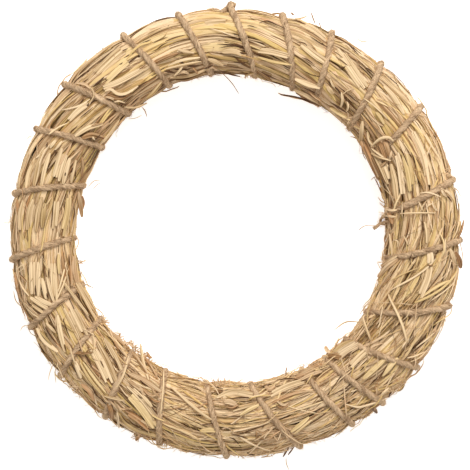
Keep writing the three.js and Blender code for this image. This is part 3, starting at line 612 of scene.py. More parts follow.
# The twine's two loose ends and a fibre of it, from the knot into the hole, each with its thickness
# as a share of the twine's
TAILS = [
    (0.36, [(390, 216, 1), (384, 216, 1), (380.5, 219.5, 0), (381, 223.5, 0), (386, 223.5, 0)]),
    (0.36, [(389, 221, 0), (384, 222, 1), (379, 224.5, 0), (373.5, 229, 0)]),
    (0.1, [(380, 225, 0), (373, 226, 0), (366.5, 225.3, 0), (358.5, 229.7, 0)]),
]

# Where the slack turn comes up from the back, beside the place where it crosses the rim
SLACK_LOOP = [(222.5, 12, 0), (227, 8.5, 0), (231.5, 4.5, 0), (235.5, 5.5, 0)]


def waves(terms, angle):
    return sum(share * np.cos(count * np.radians(angle - crest)) for count, share, crest in terms)


def roll_at(angle):
    """The middle radius, half width and half height of the roll."""
    rim = OUTER_DIAMETER / 2 + ROLL_WIDTH * waves(RIM_WAVES, angle)
    hole = OUTER_DIAMETER / 2 - ROLL_WIDTH * (1 - waves(HOLE_WAVES, angle))
    half_width = (rim - hole) / 2
    half_height = (ROLL_HEIGHT + PRESSED_FLAT) / ROLL_WIDTH * half_width
    return (rim + hole) / 2, half_width, half_height


def winding_angle(turns):
    """The angle round the ring that the twine has reached after some turns."""
    passes = np.array(TURNS, float).ravel()
    half = np.floor(turns * 2)

    def at(index):
        return passes[index.astype(int) % passes.size] + 360 * np.floor(index / passes.size)

    ease = (1 - np.cos(np.pi * (turns * 2 - half))) / 2
    return at(half) + (at(half + 1) - at(half)) * ease


def distance_to_twine(angle, section):
    """How far points of the skin are from the nearest turn's middle, along the ring."""
    part_of_turn = ((180 - section) / 360) % 1
    turns = np.arange(-1, len(TURNS) + 1) + part_of_turn[..., None]
    away = (angle[..., None] - winding_angle(turns) + 180) % 360 - 180
    middle, half_width, _ = roll_at(angle)
    out = middle + half_width * np.cos(np.radians(section))
    return np.abs(away).min(axis=-1) * np.radians(1) * out


def on_twine(angle, section):
    """1 on the twine, falling to 0 at twice its thickness away."""
    return np.clip(2 - distance_to_twine(angle, section) / (2 * TWINE_RADIUS), 0, 1)


def kept_above(lowest, height, ease):
    """The height, lifted softly so that it never comes under the lowest."""
    above = height - lowest
    return lowest + (above + np.hypot(above, ease)) / 2


def place(angle, out, up):
    return np.stack([out * np.cos(np.radians(angle)), out * np.sin(np.radians(angle)), up], axis=-1)


def facing_hole(section):
    return np.clip(-np.cos(np.radians(section)), 0, 1)


def off_section(angle, section, lift):
    """The distance from the ring's centre, and the height, of points off the full outline."""
    middle, half_width, half_height = roll_at(angle)
    lift = lift - TIGHTER_AT_HOLE * facing_hole(section)
    out = middle + (half_width + lift) * np.cos(np.radians(section))
    return out, half_height - PRESSED_FLAT + (half_height + lift) * np.sin(np.radians(section))


def outward(angle, section):
    """The direction straight out of the roll."""
    return place(angle, np.cos(np.radians(section)), np.sin(np.radians(section)))


def lumps(angle, section):
    a, s = np.radians(angle), np.radians(section)
    return LUMP_HEIGHT * sum(np.sin(i * a + j * s + phase) for i, j, phase in LUMP_WAVES) / 2


def on_roll(angle, section, height):
    """Points some height above the straw's full outline, lower where the twine pinches the straw."""
    away = distance_to_twine(angle, section) / PINCH_WIDTH
    near = np.exp(PINCH_ROUNDNESS - np.hypot(away, PINCH_ROUNDNESS))
    near = near * (1 - PINCH_LOST_AT_HOLE * facing_hole(section))
    lift = (height + lumps(angle, section)) * (1 - PINCH_PRESSES * near) - PINCH_DEPTH * near
    out, up = off_section(angle, section, lift)
    lowest = FLOOR_GAP + PRESSED_AT_FLOOR * np.maximum(0, TOP_OF_STRAW - height)
    return place(angle, out, kept_above(lowest, up, FLOOR_EASE))


def over_twine(angle, section, height):
    """Points some height above the straw's full outline, higher where they pass over the twine."""
    lift = (TWINE_RADIUS - TWINE_INSET) * on_twine(angle, section)
    out, up = off_section(angle, section, height + lift)
    return place(angle, out, up)


def at_pixels(route):
    """Points off the roll's skin, from pixels of the photograph and heights above the straw in mm.
    What a pixel measures depends on the height, which takes a few rounds to settle."""
    x, y, lift = np.array(route, float).T
    lift = lift * MM
    up = np.full(x.shape, ROLL_HEIGHT / 2)
    for _ in range(3):
        pixel = PIXEL * (CAMERA_HEIGHT - up) / (CAMERA_HEIGHT - ROLL_HEIGHT / 2)
        east = CAMERA_X + (x - PHOTO_SIZE / 2) * pixel
        north = CAMERA_Y - (y - PHOTO_SIZE / 2) * pixel
        middle, half_width, half_height = roll_at(np.degrees(np.arctan2(north, east)))
        over = np.clip((np.hypot(east, north) - middle) / (half_width + lift), -1, 1)
        up = half_height - PRESSED_FLAT + (half_height + lift) * np.sqrt(1 - over**2)
    return np.stack([east, north, up], axis=-1)


def smooth(points, steps):
    """A rounded route through a few points."""
    ends = np.vstack([2 * points[0] - points[1], points, 2 * points[-1] - points[-2]])
    at = np.linspace(0, len(points) - 1, steps)
    i = np.minimum(at.astype(int), len(points) - 2)
    t = (at - i)[:, None]
    a, b, c, d = (ends[i + k] for k in range(4))
    return b + t / 2 * (c - a + t * (2 * a - 5 * b + 4 * c - d + t * (3 * (b - c) + d - a)))


def travelled(points):
    """The way from a path's start to each of its points."""
    steps = np.linalg.norm(np.diff(points, axis=-2), axis=-1)
    return np.concatenate([np.zeros_like(steps[..., :1]), np.cumsum(steps, axis=-1)], axis=-1)


def lean_at(angle):
    keys = np.array(LEANS, float)
    ahead = np.vstack([keys[-1] - [360, 0], keys, keys[0] + [360, 0]])
    return np.interp(angle % 360, ahead[:, 0], ahead[:, 1])


def neatness(angle):
    """1 where the straw is broadest and most even, -1 across the ring from there."""
    return np.cos(np.radians(angle - NEATEST))


def unit(vectors):
    return vectors / np.maximum(np.linalg.norm(vectors, axis=-1, keepdims=True), 1e-12)


def upwards(points):
    return np.broadcast_to([0.0, 0.0, 1.0], points.shape)


def ring_of_corners(degrees, radius=0.5):
    return np.array([[radius * math.cos(a), radius * math.sin(a)] for a in np.radians(degrees)])


# Sections of a strand, as shares of its width and of its thickness, anticlockwise
BROAD = np.array([[-0.5, 0], [0, -0.3], [0.5, 0], [0.42, 0.8], [0.0, 1.0], [-0.42, 0.8]])
FOLDED = np.array([[-0.5, 0.3], [0, -0.5], [0.5, 0.3], [0.34, 1.0], [0.05, 0.1], [-0.3, 1.0]])
NARROW = np.array([[-0.5, 0], [0, -0.5], [0.5, 0], [0.34, 0.9], [-0.3, 1.0]])
ROUND = ring_of_corners(range(0, 360, 60))
THIN = ring_of_corners([90, 210, 330])


class Strands:
    """Collects swept strands and what their material needs to know, and turns them into one mesh."""

    def __init__(self, name, slot, rounded=False):
        self.name, self.slot, self.rounded = name, slot, rounded
        self.corners, self.faces = [], []
        self.look, self.grain, self.edge = [], [], []
        self.count = 0

    def add(self, points, up, width, thickness, outline, look, turn=0.0):
        """Adds strands. points and up are (strands, steps, 3), width and thickness (strands, steps),
        look is (strands, 3). turn rolls the section over, in radians."""
        strands, steps, sides = points.shape[0], points.shape[1], len(outline)
        along = unit(np.gradient(points, axis=1))
        side = unit(np.cross(up, along))
        up = np.cross(along, side)
        turn = np.broadcast_to(turn, points.shape[:2])[..., None]
        side, up = side * np.cos(turn) + up * np.sin(turn), up * np.cos(turn) - side * np.sin(turn)
        x = width[..., None] * outline[:, 0]
        y = thickness[..., None] * outline[:, 1]
        corners = points[:, :, None] + side[:, :, None] * x[..., None] + up[:, :, None] * y[..., None]
        corners[..., 2] = kept_above(FLOOR_GAP, corners[..., 2], CORNER_EASE)
        index = self.count + np.arange(strands * steps * sides).reshape(strands, steps, sides)
        after = np.roll(index, -1, axis=2)
        quads = np.stack([index[:, :-1], after[:, :-1], after[:, 1:], index[:, 1:]], axis=-1)
        self.faces += [quads.reshape(-1, 4), index[:, 0, ::-1], index[:, -1]]
        self.count += index.size
        shape = (strands, steps, sides)
        own = np.arange(strands)[:, None, None] * GRAIN_STEP + self.count % GRAIN_REPEAT
        along_mm = travelled(points)[..., None] / MM
        grain = np.stack(np.broadcast_arrays(x / MM, along_mm, own), axis=-1)
        self.corners.append(corners.reshape(-1, 3))
        self.look.append(np.broadcast_to(look[:, None, None], shape + (3,)).reshape(-1, 3))
        self.grain.append(grain.reshape(-1, 3))
        self.edge.append(np.broadcast_to(2 * np.abs(outline[:, 0]), shape).ravel())

    def make(self, material):
        mesh = bpy.data.meshes.new(self.name)
        corners = np.concatenate(self.corners)
        loops = np.concatenate([f.ravel() for f in self.faces])
        sizes = np.concatenate([np.full(len(f), f.shape[1]) for f in self.faces])
        mesh.vertices.add(len(corners))
        mesh.vertices.foreach_set("co", corners.astype(np.float32).ravel())
        mesh.loops.add(len(loops))
        mesh.loops.foreach_set("vertex_index", loops.astype(np.int32))
        mesh.polygons.add(len(sizes))
        starts = np.concatenate([[0], np.cumsum(sizes)[:-1]])
        mesh.polygons.foreach_set("loop_start", starts.astype(np.int32))
        mesh.update(calc_edges=True)
        for name, values in (("look", self.look), ("grain", self.grain)):
            attribute = mesh.attributes.new(name, "FLOAT_VECTOR", "POINT")
            attribute.data.foreach_set("vector", np.concatenate(values).astype(np.float32).ravel())
        edge = mesh.attributes.new("edge", "FLOAT", "POINT")
        edge.data.foreach_set("value", np.concatenate(self.edge).astype(np.float32))
        flat = mesh.attributes.new("sharp_face", "BOOLEAN", "FACE")
        flat.data.foreach_set("value", np.full(len(sizes), not self.rounded))
        mesh.materials.append(material)
        thing = bpy.data.objects.new(self.name, mesh)
        bpy.context.collection.objects.link(thing)
        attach(thing, "root")
        return thing


def between(chance, limits, shape):
    return chance.uniform(*limits, shape) * MM


def spread_places(count, chance, mess):
    """Places round the ring and its section that fill both evenly, or mostly where straw is messy."""
    i = np.arange(count) + chance.random()
    jitter = chance.normal(0, PLACE_JITTER / math.sqrt(count), (2, count))
    angle, section = (360 * ((i * step + off) % 1) for step, off in zip(EVEN_STEPS, jitter))
    missing = mess * (LEFT_OUT + LEFT_OUT * neatness(angle))
    kept = chance.random(count) < np.clip(1 - missing, 0.1, 1)
    return angle[kept], section[kept]


def painted_light_and_shade(angle, section):
    """How much painted light and shade the straw gets: painted shade where it faces the hole's
    middle from the top, and painted light at the rim, most of all along the bottom."""
    top = np.sin(np.radians(angle - SHADED_FROM))
    facing_rim = np.clip(np.cos(np.radians(section)), 0, 1)
    painted_rim_light = PAINTED_LIGHT_AT_RIM + PAINTED_LIGHT_AT_BOTTOM_RIM * np.clip(-top, 0, 1)
    return -PAINTED_SHADE_IN_HOLE * top * facing_hole(section) + painted_rim_light * facing_rim**2


def straw_look(chance, count, light, brown, yellow=0.1, spreads=(0.25, 0.35, 0.4)):
    """Lightness, brownness and yellowness of each strand, round the given ones."""
    brown = np.clip(chance.normal(brown, spreads[1], count), 0, 1)
    yellow = np.clip(chance.normal(yellow, spreads[2], count), 0, 1)
    light = np.clip(chance.normal(light, spreads[0], count), DARKEST, LIGHTEST)
    return np.stack([light, brown, yellow], axis=1)


def wave_along(chance, s, size, length):
    """A wave along each straw, from a start of its own."""
    return size * np.sin(2 * np.pi * s / length + chance.uniform(0, 6.3, (len(s), 1)))


def lay_straw(strands, chance, count, lengths, widths, heights, outline=NARROW, steps=16,
              thickness=0.2, light=0.6, tips=(3, 20), ends=(-2, 0.2), stray=4, bow=0.015,
              roll=0.2, mess=0.0, skin=on_roll, brown=0.15):
    """Lays straws along the roll. lengths, widths, heights, tips and ends are limits in mm.
    tips are the lengths over which straws narrow. ends are how far their ends rise."""
    angle, section = spread_places(count, chance, mess)
    count = len(angle)
    length = between(chance, lengths, (count, 1))
    stray = stray * (1 - STRAIGHTER_WHERE_NEAT * neatness(angle))
    lean = np.radians(lean_at(angle) + chance.normal(0, 1, count) * stray)[:, None]
    share = np.linspace(-0.5, 0.5, steps)[None]
    s = share * length
    bend = chance.normal(0, bow, (count, 1)) * length * (4 * share**2 - 0.33)
    sway = wave_along(chance, s, SWAY, SWAY_LENGTH)
    section = section[:, None] - np.degrees((np.tan(lean) * s + bend + sway) / SECTION_RADIUS)
    broader = 1 + BROADER_WHERE_NEAT * neatness(angle)
    width = (between(chance, widths, count) * broader)[:, None]
    middle, half_width, _ = roll_at(angle[:, None])
    out = middle + half_width * np.cos(np.radians(section))
    angle = angle[:, None] + np.degrees(s / out)
    rise = np.where(share < 0, between(chance, ends, (count, 1)), between(chance, ends, (count, 1)))
    ripple = wave_along(chance, s, RIPPLE, RIPPLE_LENGTH)
    height = between(chance, heights, (count, 1)) + rise * np.abs(2 * share) ** 4 + ripple
    narrowing = between(chance, tips, (2, count, 1))
    nearness = np.minimum((s - s[:, :1]) / narrowing[0], (s[:, -1:] - s) / narrowing[1])
    uneven = 1 + UNEVEN_WIDTH * np.sin(s / UNEVEN_LENGTH + chance.uniform(0, 6.3, (count, 1)))
    width = width * (TIP_WIDTH + (1 - TIP_WIDTH) * np.clip(nearness, 0, 1) ** 0.7) * uneven
    turn = chance.normal(0, roll, (count, 1)) + chance.normal(0, roll, (count, 1)) * 2 * share
    darker = DARKER_WHERE_NEAT * neatness(angle[:, 0])
    # Painted light and shade by place on the ring is added to each straw's lightness
    light = light - darker + painted_light_and_shade(angle[:, 0], section[:, 0])
    look = straw_look(chance, count, light, brown)
    strands.add(
        skin(angle, section, height), outward(angle, section), width,
        LEAST_THICKNESS + thickness * width, outline, look, turn,
    )


def srgb(*values):
    """A colour as a screen shows it, 0 to 255, as amounts of light."""
    shares = [v / 255 for v in values]
    return tuple(v / 12.92 if v <= 0.04045 else ((v + 0.055) / 1.055) ** 2.4 for v in shares) + (1.0,)


class Nodes:
    """Short calls for building a material."""

    def __init__(self, name):
        self.material = bpy.data.materials.new(name)
        self.material.use_nodes = True
        self.tree = self.material.node_tree
        self.shader = self.tree.nodes["Principled BSDF"]

    def plug(self, socket, value):
        if isinstance(value, bpy.types.NodeSocket):
            self.tree.links.new(value, socket)
        else:
            socket.default_value = value

    def surface(self, **inputs):
        for name, value in inputs.items():
            self.plug(self.shader.inputs[name.replace("_", " ")], value)

    def add(self, kind, inputs, **settings):
        node = self.tree.nodes.new(kind)
        for key, value in settings.items():
            setattr(node, key, value)
        for key, value in inputs.items():
            self.plug(node.inputs[key], value)
        return node

    def attribute(self, name, output="Vector"):
        return self.add("ShaderNodeAttribute", {}, attribute_name=name).outputs[output]

    def split(self, vector):
        return self.add("ShaderNodeSeparateXYZ", {0: vector}).outputs

    def maths(self, operation, a, b):
        return self.add("ShaderNodeMath", {0: a, 1: b}, operation=operation).outputs[0]

    def mix(self, factor, a, b):
        return self.add("ShaderNodeMix", {0: factor, 6: a, 7: b}, data_type="RGBA").outputs[2]

    def noise(self, vector, scales, detail):
        stretched = self.add("ShaderNodeVectorMath", {0: vector, 1: scales}, operation="MULTIPLY")
        wanted = {"Vector": stretched.outputs[0], "Scale": 1.0, "Detail": detail}
        return self.add("ShaderNodeTexNoise", wanted).outputs["Fac"]

    def ranged(self, value, limits, to=(0.0, 1.0)):
        """The value, stretched from its limits to new ones and kept within them."""
        wanted = {0: value, 1: limits[0], 2: limits[1], 3: to[0], 4: to[1]}
        return self.add("ShaderNodeMapRange", wanted).outputs[0]

    def finish(self, colour, roughness, specular, height):
        bump = self.add("ShaderNodeBump", {"Strength": 0.5, "Distance": 0.4 * MM, "Height": height})
        self.surface(Base_Color=colour, Roughness=roughness, Specular_IOR_Level=specular)
        self.surface(Normal=bump.outputs[0])
        return self.material


def straw_material(name, shade_and_darkest, dark, pale, brown, yellow):
    n = Nodes(name)
    lightness, brownness, yellowness = n.split(n.attribute("look"))[:3]
    grain = n.attribute("grain")
    streaks = n.noise(grain, (1.1, 0.02, 1), 5.0)
    veins = n.noise(grain, (2.1, 0.04, 1), 3.0)
    patches = n.noise(grain, (0.15, 0.06, 1), 3.0)
    # Painted shade: each blade darkens towards its edges, where it meets and overlaps others
    edge = n.ranged(n.attribute("edge", "Fac"), (0.72, 1.0), to=(0.0, -0.5))
    tone = n.maths("ADD", lightness, n.ranged(streaks, (0.3, 0.7), to=(-0.46, 0.44)))
    tone = n.maths("ADD", tone, n.ranged(veins, (0.35, 0.65), to=(-0.38, 0.3)))
    tone = n.maths("ADD", tone, edge)
    colour = n.mix(n.ranged(tone, (0.0, 1.0)), dark, pale)
    browned = n.maths("MULTIPLY", brownness, n.ranged(patches, (0.35, 0.7), to=(0.1, 0.9)))
    colour = n.mix(browned, colour, brown)
    colour = n.mix(n.maths("MULTIPLY", yellowness, 0.7), colour, yellow)
    # Tones below the straw's darkest go to this colour. It shows painted shade in the gaps, the core and
    # at blade edges, and the darkest real straw
    colour = n.mix(n.ranged(tone, (0.05, -0.55), to=(0.0, 0.95)), colour, shade_and_darkest)
    roughness = n.ranged(streaks, (0.2, 0.8), to=(0.5, 0.75))
    return n.finish(colour, roughness, specular=0.25, height=n.maths("ADD", streaks, veins))


def jute_material(name, dark, pale):
    n = Nodes(name)
    lightness = n.split(n.attribute("look"))[0]
    grain = n.attribute("grain")
    fibres = n.noise(grain, (3.0, 0.35, 1), 4.0)
    patches = n.noise(grain, (0.1, 0.05, 1), 2.0)
    tone = n.maths("ADD", lightness, n.ranged(fibres, (0.25, 0.75), to=(-0.5, 0.45)))
    tone = n.maths("ADD", tone, n.ranged(patches, (0.3, 0.7), to=(-0.2, 0.2)))
    colour = n.mix(n.ranged(tone, (0.0, 1.0)), dark, pale)
    roughness = n.ranged(fibres, (0.2, 0.8), to=(0.8, 0.95))
    return n.finish(colour, roughness, specular=0.15, height=fibres)


STRAW = straw_material(
    "straw", shade_and_darkest=srgb(76, 46, 20), dark=srgb(150, 113, 70), pale=srgb(245, 216, 174),
    brown=srgb(188, 130, 78), yellow=srgb(232, 198, 118),
)
JUTE = jute_material("jute", dark=srgb(132, 99, 69), pale=srgb(240, 207, 166))


def packed_core(around=230, across=48, depth=4.2 * MM, look=(-0.35, 0.3, 0.0)):
    """The straw inside the roll, which shows as dark gaps between the blades. Its dark colour is painted
    shade.
    """
    angles = np.arange(around) * 360 / around
    sections = np.arange(across) * 360 / across
    angle, section = np.meshgrid(angles, sections, indexing="ij")
    index = np.arange(around * across).reshape(around, across)
    ahead, higher = np.roll(index, -1, axis=0), np.roll(index, -1, axis=1)
    core = Strands("packed_core", "straw", rounded=True)
    core.corners = [on_roll(angle, section, np.full(angle.shape, -depth)).reshape(-1, 3)]
    core.faces = [np.stack([index, ahead, np.roll(ahead, -1, axis=1), higher], axis=-1).reshape(-1, 4)]
    core.look = [np.tile(look, (index.size, 1))]
    core.edge = [np.zeros(index.size)]
    across_mm = np.radians(section) * SECTION_RADIUS / MM
    along_mm = np.radians(angle) * OUTER_DIAMETER / 2 / MM
    core.grain = [np.stack([across_mm, along_mm, np.zeros(angle.shape)], axis=-1).reshape(-1, 3)]
    return core.make(STRAW)


def laid_straw(name, *layers, seed, rounded=False):
    """A piece made of layers of straw, each laid at random."""
    chance = np.random.default_rng(seed)
    strands = Strands(name, "straw", rounded)
    for layer in layers:
        lay_straw(strands, chance, **layer)
    return strands.make(STRAW)


def round_stalks(seed=41):
    chance = np.random.default_rng(seed)
    strands = Strands("round_stalks", "straw")
    lay_straw(strands, chance, count=130, lengths=(30, 90), widths=(1.3, 2.0), heights=(-1.7, -0.4),
              outline=ROUND, thickness=0.7, light=0.7, tips=(0.5, 4), stray=4)
    share = np.linspace(0, 1, PLACED_STEPS)
    taper = 1 - STALK_TAPER * np.abs(2 * share - 1) ** 6
    for route, (colour, width) in zip(LOOSE_STALKS, LOOSE_LOOKS):
        angle, section, height = smooth(np.array(route, float), PLACED_STEPS).T
        crosses = on_twine(angle, section).max()
        arch = crosses * (TWINE_RADIUS - TWINE_INSET) * np.sin(np.pi * share) ** 0.4
        lift = height * STALK_DIAMETER + STALK_HEIGHT * width * MM + arch
        points = place(angle, *off_section(angle, section, lift))
        size = (width * MM * taper)[None]
        look = np.array([COLOURS[colour]])
        thickness = STALK_THICKNESS * size
        strands.add(points[None], outward(angle, section)[None], size, thickness, ROUND, look)
    return strands.make(STRAW)


def placed_straws(seed=61):
    chance = np.random.default_rng(seed)
    strands = Strands("placed_straws", "straw")
    for colour, width, lift, *route in PLACED:
        lifts = lift * (0.5 + 0.5 * np.sin(np.pi * np.linspace(0, 1, len(route))))
        points = smooth(at_pixels([(x, y, up) for (x, y), up in zip(route, lifts)]), PLACED_STEPS)
        add_blade(strands, chance, points, width * MM, colour)
    for tuft in TUFTS.values():
        add_tuft(strands, chance, *tuft)
    return strands.make(STRAW)


def add_blade(strands, chance, points, width, colour):
    """A dark strand of painted shade between blades, or a fine fibre, as one strand, and a blade as
    strips side by side that end unevenly.
    """
    if colour == "shade_gap":
        add_placed(strands, points, GAP_WIDTH * width, NARROW, COLOURS[colour], 1.0)
        return
    strips = max(1, round(width / STRIP_WIDTH))
    along = unit(np.gradient(points, axis=0))
    level = unit(np.cross(along, [0, 0, 1.0]))
    for strip in range(strips):
        off = ((strip + 0.5) / strips - 0.5) * width
        first, last = (chance.integers(0, STRIP_SHORTER, 2) if strips > 1 else (0, 0))
        part = (points + level * off)[first:len(points) - last]
        lift = chance.uniform(*STRIP_HEIGHTS) * MM * (strips > 1)
        part = smooth(part, PLACED_STEPS) + [0, 0, lift]
        light, brown, yellow = COLOURS[colour]
        look = [light + chance.normal(0, STRIP_TONES), brown, yellow * chance.uniform(0.5, 1)]
        outline = THIN if width < FIBRE_WIDTH else NARROW if width < NARROW_WIDTH else BROAD
        taper = 0.25 if strips > 1 else 0.5
        add_placed(strands, part, STRIP_OVERLAP * width / strips, outline, look, taper)


def add_tuft(strands, chance, root, width, way, spread, length, count):
    """Fibres that stick out of the straw round one place, most of them hidden in it at one end."""
    start = at_pixels([root])[0]
    way = math.radians(way)
    edge = np.array([-math.sin(way), math.cos(way), 0.0])
    for _ in range(count):
        heading = way + math.radians(chance.normal(0, spread))
        reach = length * MM * chance.uniform(*TUFT_LENGTHS)
        beside = edge * chance.normal(0, width / 2) * PIXEL
        first = start + beside + [0, 0, chance.uniform(*TUFT_ROOTS) * MM]
        ahead = np.array([math.cos(heading), math.sin(heading), chance.normal(0, TUFT_TILT)])
        bend = np.array([-ahead[1], ahead[0], 0.0]) * chance.normal(0, TUFT_BEND) * reach
        back = ahead * reach * TUFT_HIDDEN
        points = smooth(np.array([first - back, first + bend * 0.3, first + ahead * reach + bend]),
                        TUFT_STEPS)
        look = [chance.uniform(*TUFT_LIGHT), chance.uniform(*TUFT_BROWN), 0]
        add_placed(strands, points, chance.uniform(*TUFT_WIDTHS) * MM, THIN, look)


def add_placed(strands, points, width, outline, look, taper=0.5):
    """One strand that narrows towards its ends, the more slowly the smaller taper is."""
    points = points[None]
    share = np.linspace(0.03, 0.97, points.shape[1])[None]
    widths = width * (PLACED_TIP + (1 - PLACED_TIP) * np.sin(np.pi * share) ** taper)
    thickness = LEAST_THICKNESS + PLACED_THICKNESS * widths
    strands.add(points, upwards(points), widths, thickness, outline, np.array([look]))


def twine_middle(turns):
    """The winding twine's middle line, and the direction out of the roll along it."""
    section = 180 - 360 * (turns % 1)
    angle = winding_angle(turns)
    away = np.abs(turns - SLACK_PLACE) * np.pi * ROLL_WIDTH / SLACK_REACH
    slack = np.where(away < 1, SLACK_HEIGHT * np.cos(away * np.pi / 2) ** 2, 0)
    sunk = TWINE_INSET + TWINE_SINKS_AT_HOLE * facing_hole(section)
    out, up = off_section(angle, section, slack - sunk)
    return place(angle, out, kept_above(TWINE_LOWEST, up, UNDERSIDE_EASE)), outward(angle, section)


def across_twine(path, up):
    along = unit(np.gradient(path, axis=0))
    side = unit(np.cross(up, along))
    return along, side, np.cross(along, side)


def lay_plies(strands, path, up, thickness=1.0, fray=0.0):
    """Strands twisted round each other along the path, together as thick as a share of the twine.
    fray is how far they part at its end."""
    radius = thickness * TWINE_RADIUS
    _, side, up = across_twine(path, up)
    run = travelled(path)
    apart = PLY_OFFSET * radius + fray * (run / run[-1]) ** 2
    wander = sum(size * np.sin(run / length + phase) for size, length, phase in TWIST_WAVES)
    for ply in range(PLIES):
        twist = 2 * np.pi * (ply / PLIES - run / TWINE_PITCH) + wander
        away = np.cos(twist)[:, None] * up + np.sin(twist)[:, None] * side
        uneven = sum((size * np.sin(run / length + step * ply) for size, length, step in PLY_WAVES), 1)
        width = (PLY_WIDTH * radius * uneven)[None]
        points = path + apart[:, None] * away
        look = np.array([[PLY_TONE + PLY_TONE_STEP * ply, 0, 0]])
        strands.add(points[None], away[None], width, width, ROUND, look)


def lay_fuzz(strands, chance, path, up, count, lengths, reach, thickness):
    """Fibres that start on the twine. reach is how far they stand off it, for each of their length."""
    along, side, up = across_twine(path, up)
    start = chance.integers(2, len(path) - 2, count)
    share = np.linspace(0, 1, FUZZ_STEPS)[None]
    size = between(chance, lengths, (count, 1))
    way = np.sign(chance.normal(size=(count, 1)))
    curl = chance.uniform(0, 2 * np.pi, (count, 1)) + share * chance.normal(0, FUZZ_CURL, (count, 1))
    lift = FUZZ_ROOT * TWINE_RADIUS + reach * chance.random((count, 1)) * share**1.5 * size
    around = np.cos(curl)[..., None] * up[start][:, None] + np.sin(curl)[..., None] * side[start][:, None]
    onward = path[start][:, None] + (way * share * size)[..., None] * along[start][:, None]
    width = thickness * MM * (1.1 - share) * np.ones((count, 1))
    light = np.clip(chance.normal(*FUZZ_LIGHT, count), 0, 1)
    look = np.stack([light, np.zeros(count), np.zeros(count)], axis=1)
    strands.add(onward + around * lift[..., None], around, width, width, THIN, look)


def twine(seed=71):
    chance = np.random.default_rng(seed)
    strands = Strands("twine_strands", "jute", rounded=True)
    lay_plies(strands, *twine_middle(np.linspace(0, len(TURNS), TWINE_STEPS)))
    for share, route in TAILS:
        tail = smooth(at_pixels(route), TAIL_STEPS)
        lay_plies(strands, tail, upwards(tail), share, TAIL_FRAY * share * MM)
        lay_fuzz(strands, chance, tail, upwards(tail), count=round(TAIL_FIBRES * share),
                 lengths=(2, 6), reach=0.3, thickness=0.18)
    loop = smooth(at_pixels(SLACK_LOOP), TAIL_STEPS)
    lay_plies(strands, loop, upwards(loop), LOOP_THICKNESS)
    lay_knot(strands)
    return strands.make(JUTE)


def lay_knot(strands):
    """A three-lobed knot of the twine, on the hole's side of the roll and turned to face upwards."""
    centre, inwards = twine_middle(np.array([KNOT_PLACE]))
    inwards = inwards[0]
    facing = unit(inwards + [0, 0, 1.0])
    across = unit(np.cross(facing, [0, 0, 1.0]))
    t = np.linspace(0, 2 * np.pi, KNOT_STEPS)[:, None]
    level = np.cross(facing, across)
    lobes = across * (np.sin(t) + 2 * np.sin(2 * t)) + level * (np.cos(t) - 2 * np.cos(2 * t))
    middle = centre[0] + inwards * KNOT_STANDS_OFF
    path = middle + (lobes - facing * 1.2 * np.sin(3 * t)) * KNOT_DIAMETER * 0.1
    lay_plies(strands, path, np.broadcast_to(facing, path.shape), KNOT_THICKNESS)


def twine_fuzz(seed=67):
    chance = np.random.default_rng(seed)
    strands = Strands("twine_fuzz", "jute", rounded=True)
    path, up = twine_middle(np.linspace(0, len(TURNS), TWINE_STEPS))
    lay_fuzz(strands, chance, path, up, count=1900, lengths=(4, 12), reach=0.05, thickness=0.32)
    lay_fuzz(strands, chance, path, up, count=4600, lengths=(1.2, 5), reach=0.5, thickness=0.18)
    return strands.make(JUTE)


def floor():
    r = FLOOR_REACH
    mesh = bpy.data.meshes.new("floor")
    mesh.from_pydata([(-r, -r, 0), (r, -r, 0), (r, r, 0), (-r, r, 0)], [], [(0, 1, 2, 3)])
    thing = bpy.data.objects.new("floor", mesh)
    bpy.context.collection.objects.link(thing)
    n = Nodes("pale_floor")
    n.surface(Base_Color=(FLOOR_TONE, FLOOR_TONE, FLOOR_TONE, 1), Roughness=0.9)
    n.surface(Emission_Color=(1, 1, 1, 1), Emission_Strength=FLOOR_GLOW)
    mesh.materials.append(n.material)


def studio():
    world = bpy.data.worlds.new("studio")
    world.use_nodes = True
    background = world.node_tree.nodes["Background"]
    background.inputs["Color"].default_value = (1, 1, 1, 1)
    background.inputs["Strength"].default_value = SKY_STRENGTH
    bpy.context.scene.world = world
    for name, (location, size, power) in LAMPS.items():
        area_light(name, location, size, power)
    camera = bpy.data.cameras.new("camera")
    camera.sensor_width = 36
    camera.lens = camera.sensor_width * (CAMERA_HEIGHT - ROLL_HEIGHT / 2) / (PHOTO_SIZE * PIXEL)
    view = bpy.data.objects.new("camera", camera)
    view.location = (CAMERA_X, CAMERA_Y, CAMERA_HEIGHT)
    bpy.context.collection.objects.link(view)
    bpy.context.scene.camera = view
    bpy.context.scene.view_settings.view_transform = "Standard"


def area_light(name, location, size, power):
    light = bpy.data.lights.new(name, "AREA")
    light.size = size
    light.energy = power
    thing = bpy.data.objects.new(name, light)
    thing.location = location
    thing.rotation_euler = (-thing.location).to_track_quat("-Z", "Y").to_euler()
    bpy.context.collection.objects.link(thing)


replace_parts(packed_core(), "straw_ring")
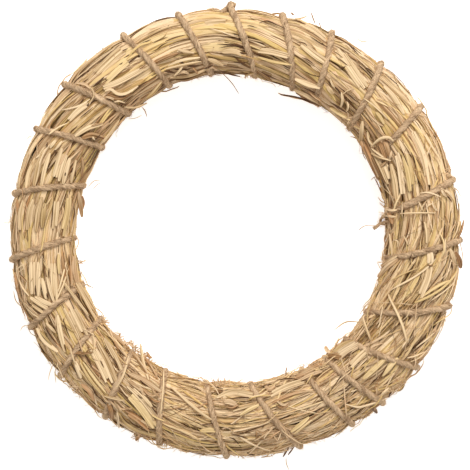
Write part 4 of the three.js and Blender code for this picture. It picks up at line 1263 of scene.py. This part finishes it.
# The under layer's low lightness is painted shade, for straw that lies deep under the blades
laid_straw("under_straw", dict(
    count=800, lengths=(50, 110), widths=(2, 5), heights=(-3.6, -2.3), outline=BROAD, steps=8,
    thickness=0.1, light=0.2, stray=5,
), seed=11)
laid_straw("broad_blades", dict(
    count=460, lengths=(60, 130), widths=(3.0, 6.4), heights=(-2.3, -0.9), outline=BROAD,
    thickness=0.08, light=0.66, tips=(2, 22), roll=0.1, stray=3,
), dict(
    count=170, lengths=(50, 110), widths=(2.4, 4.4), heights=(-2.0, -0.6), outline=FOLDED,
    thickness=0.14, light=0.6, tips=(2, 22), roll=0.2, stray=3.5,
), seed=23)
laid_straw("narrow_blades", dict(
    count=1150, lengths=(30, 110), widths=(0.9, 2.6), heights=(-2.2, -0.2), thickness=0.22,
    light=0.64, tips=(2, 16), stray=4.5, mess=0.4,
), seed=37)
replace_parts(round_stalks(), *[f"loose_stalk_{i + 1}" for i in range(len(LOOSE_STALKS))])
# Short dark strands of painted shade, for the crevices between blades
laid_straw("painted_shade_gaps", dict(
    count=860, lengths=(9, 34), widths=(0.45, 1.1), heights=(-0.7, 0.1), steps=12, thickness=0.1,
    light=-0.65, tips=(6, 16), ends=(-1.2, -0.2), stray=5, mess=0.35, brown=0.3,
), seed=47)
laid_straw("broken_bits", dict(
    count=1500, lengths=(6, 30), widths=(0.5, 2.2), heights=(-0.6, 0.7), steps=9, thickness=0.25,
    light=0.75, tips=(1, 8), ends=(-1.2, 1.4), stray=15, bow=0.05, mess=0.62, brown=0.3,
), dict(
    count=420, lengths=(7, 24), widths=(0.4, 1.5), heights=(0.2, 0.9), steps=12, thickness=0.25,
    light=0.8, tips=(1, 6), ends=(-1.6, 1.0), stray=26, bow=0.05, mess=0.62, brown=0.35,
    skin=over_twine,
), seed=53)
laid_straw("straw_hairs", dict(
    count=3600, lengths=(5, 22), widths=(0.2, 0.6), heights=(-0.8, 0.7), outline=THIN, steps=9,
    thickness=0.5, light=0.5, tips=(1, 10), ends=(-2, 4.0), stray=24, bow=0.12, mess=0.55,
    brown=0.4,
), seed=59, rounded=True)
placed_straws()
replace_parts(twine(), "jute_twine")
twine_fuzz()
floor()
studio()
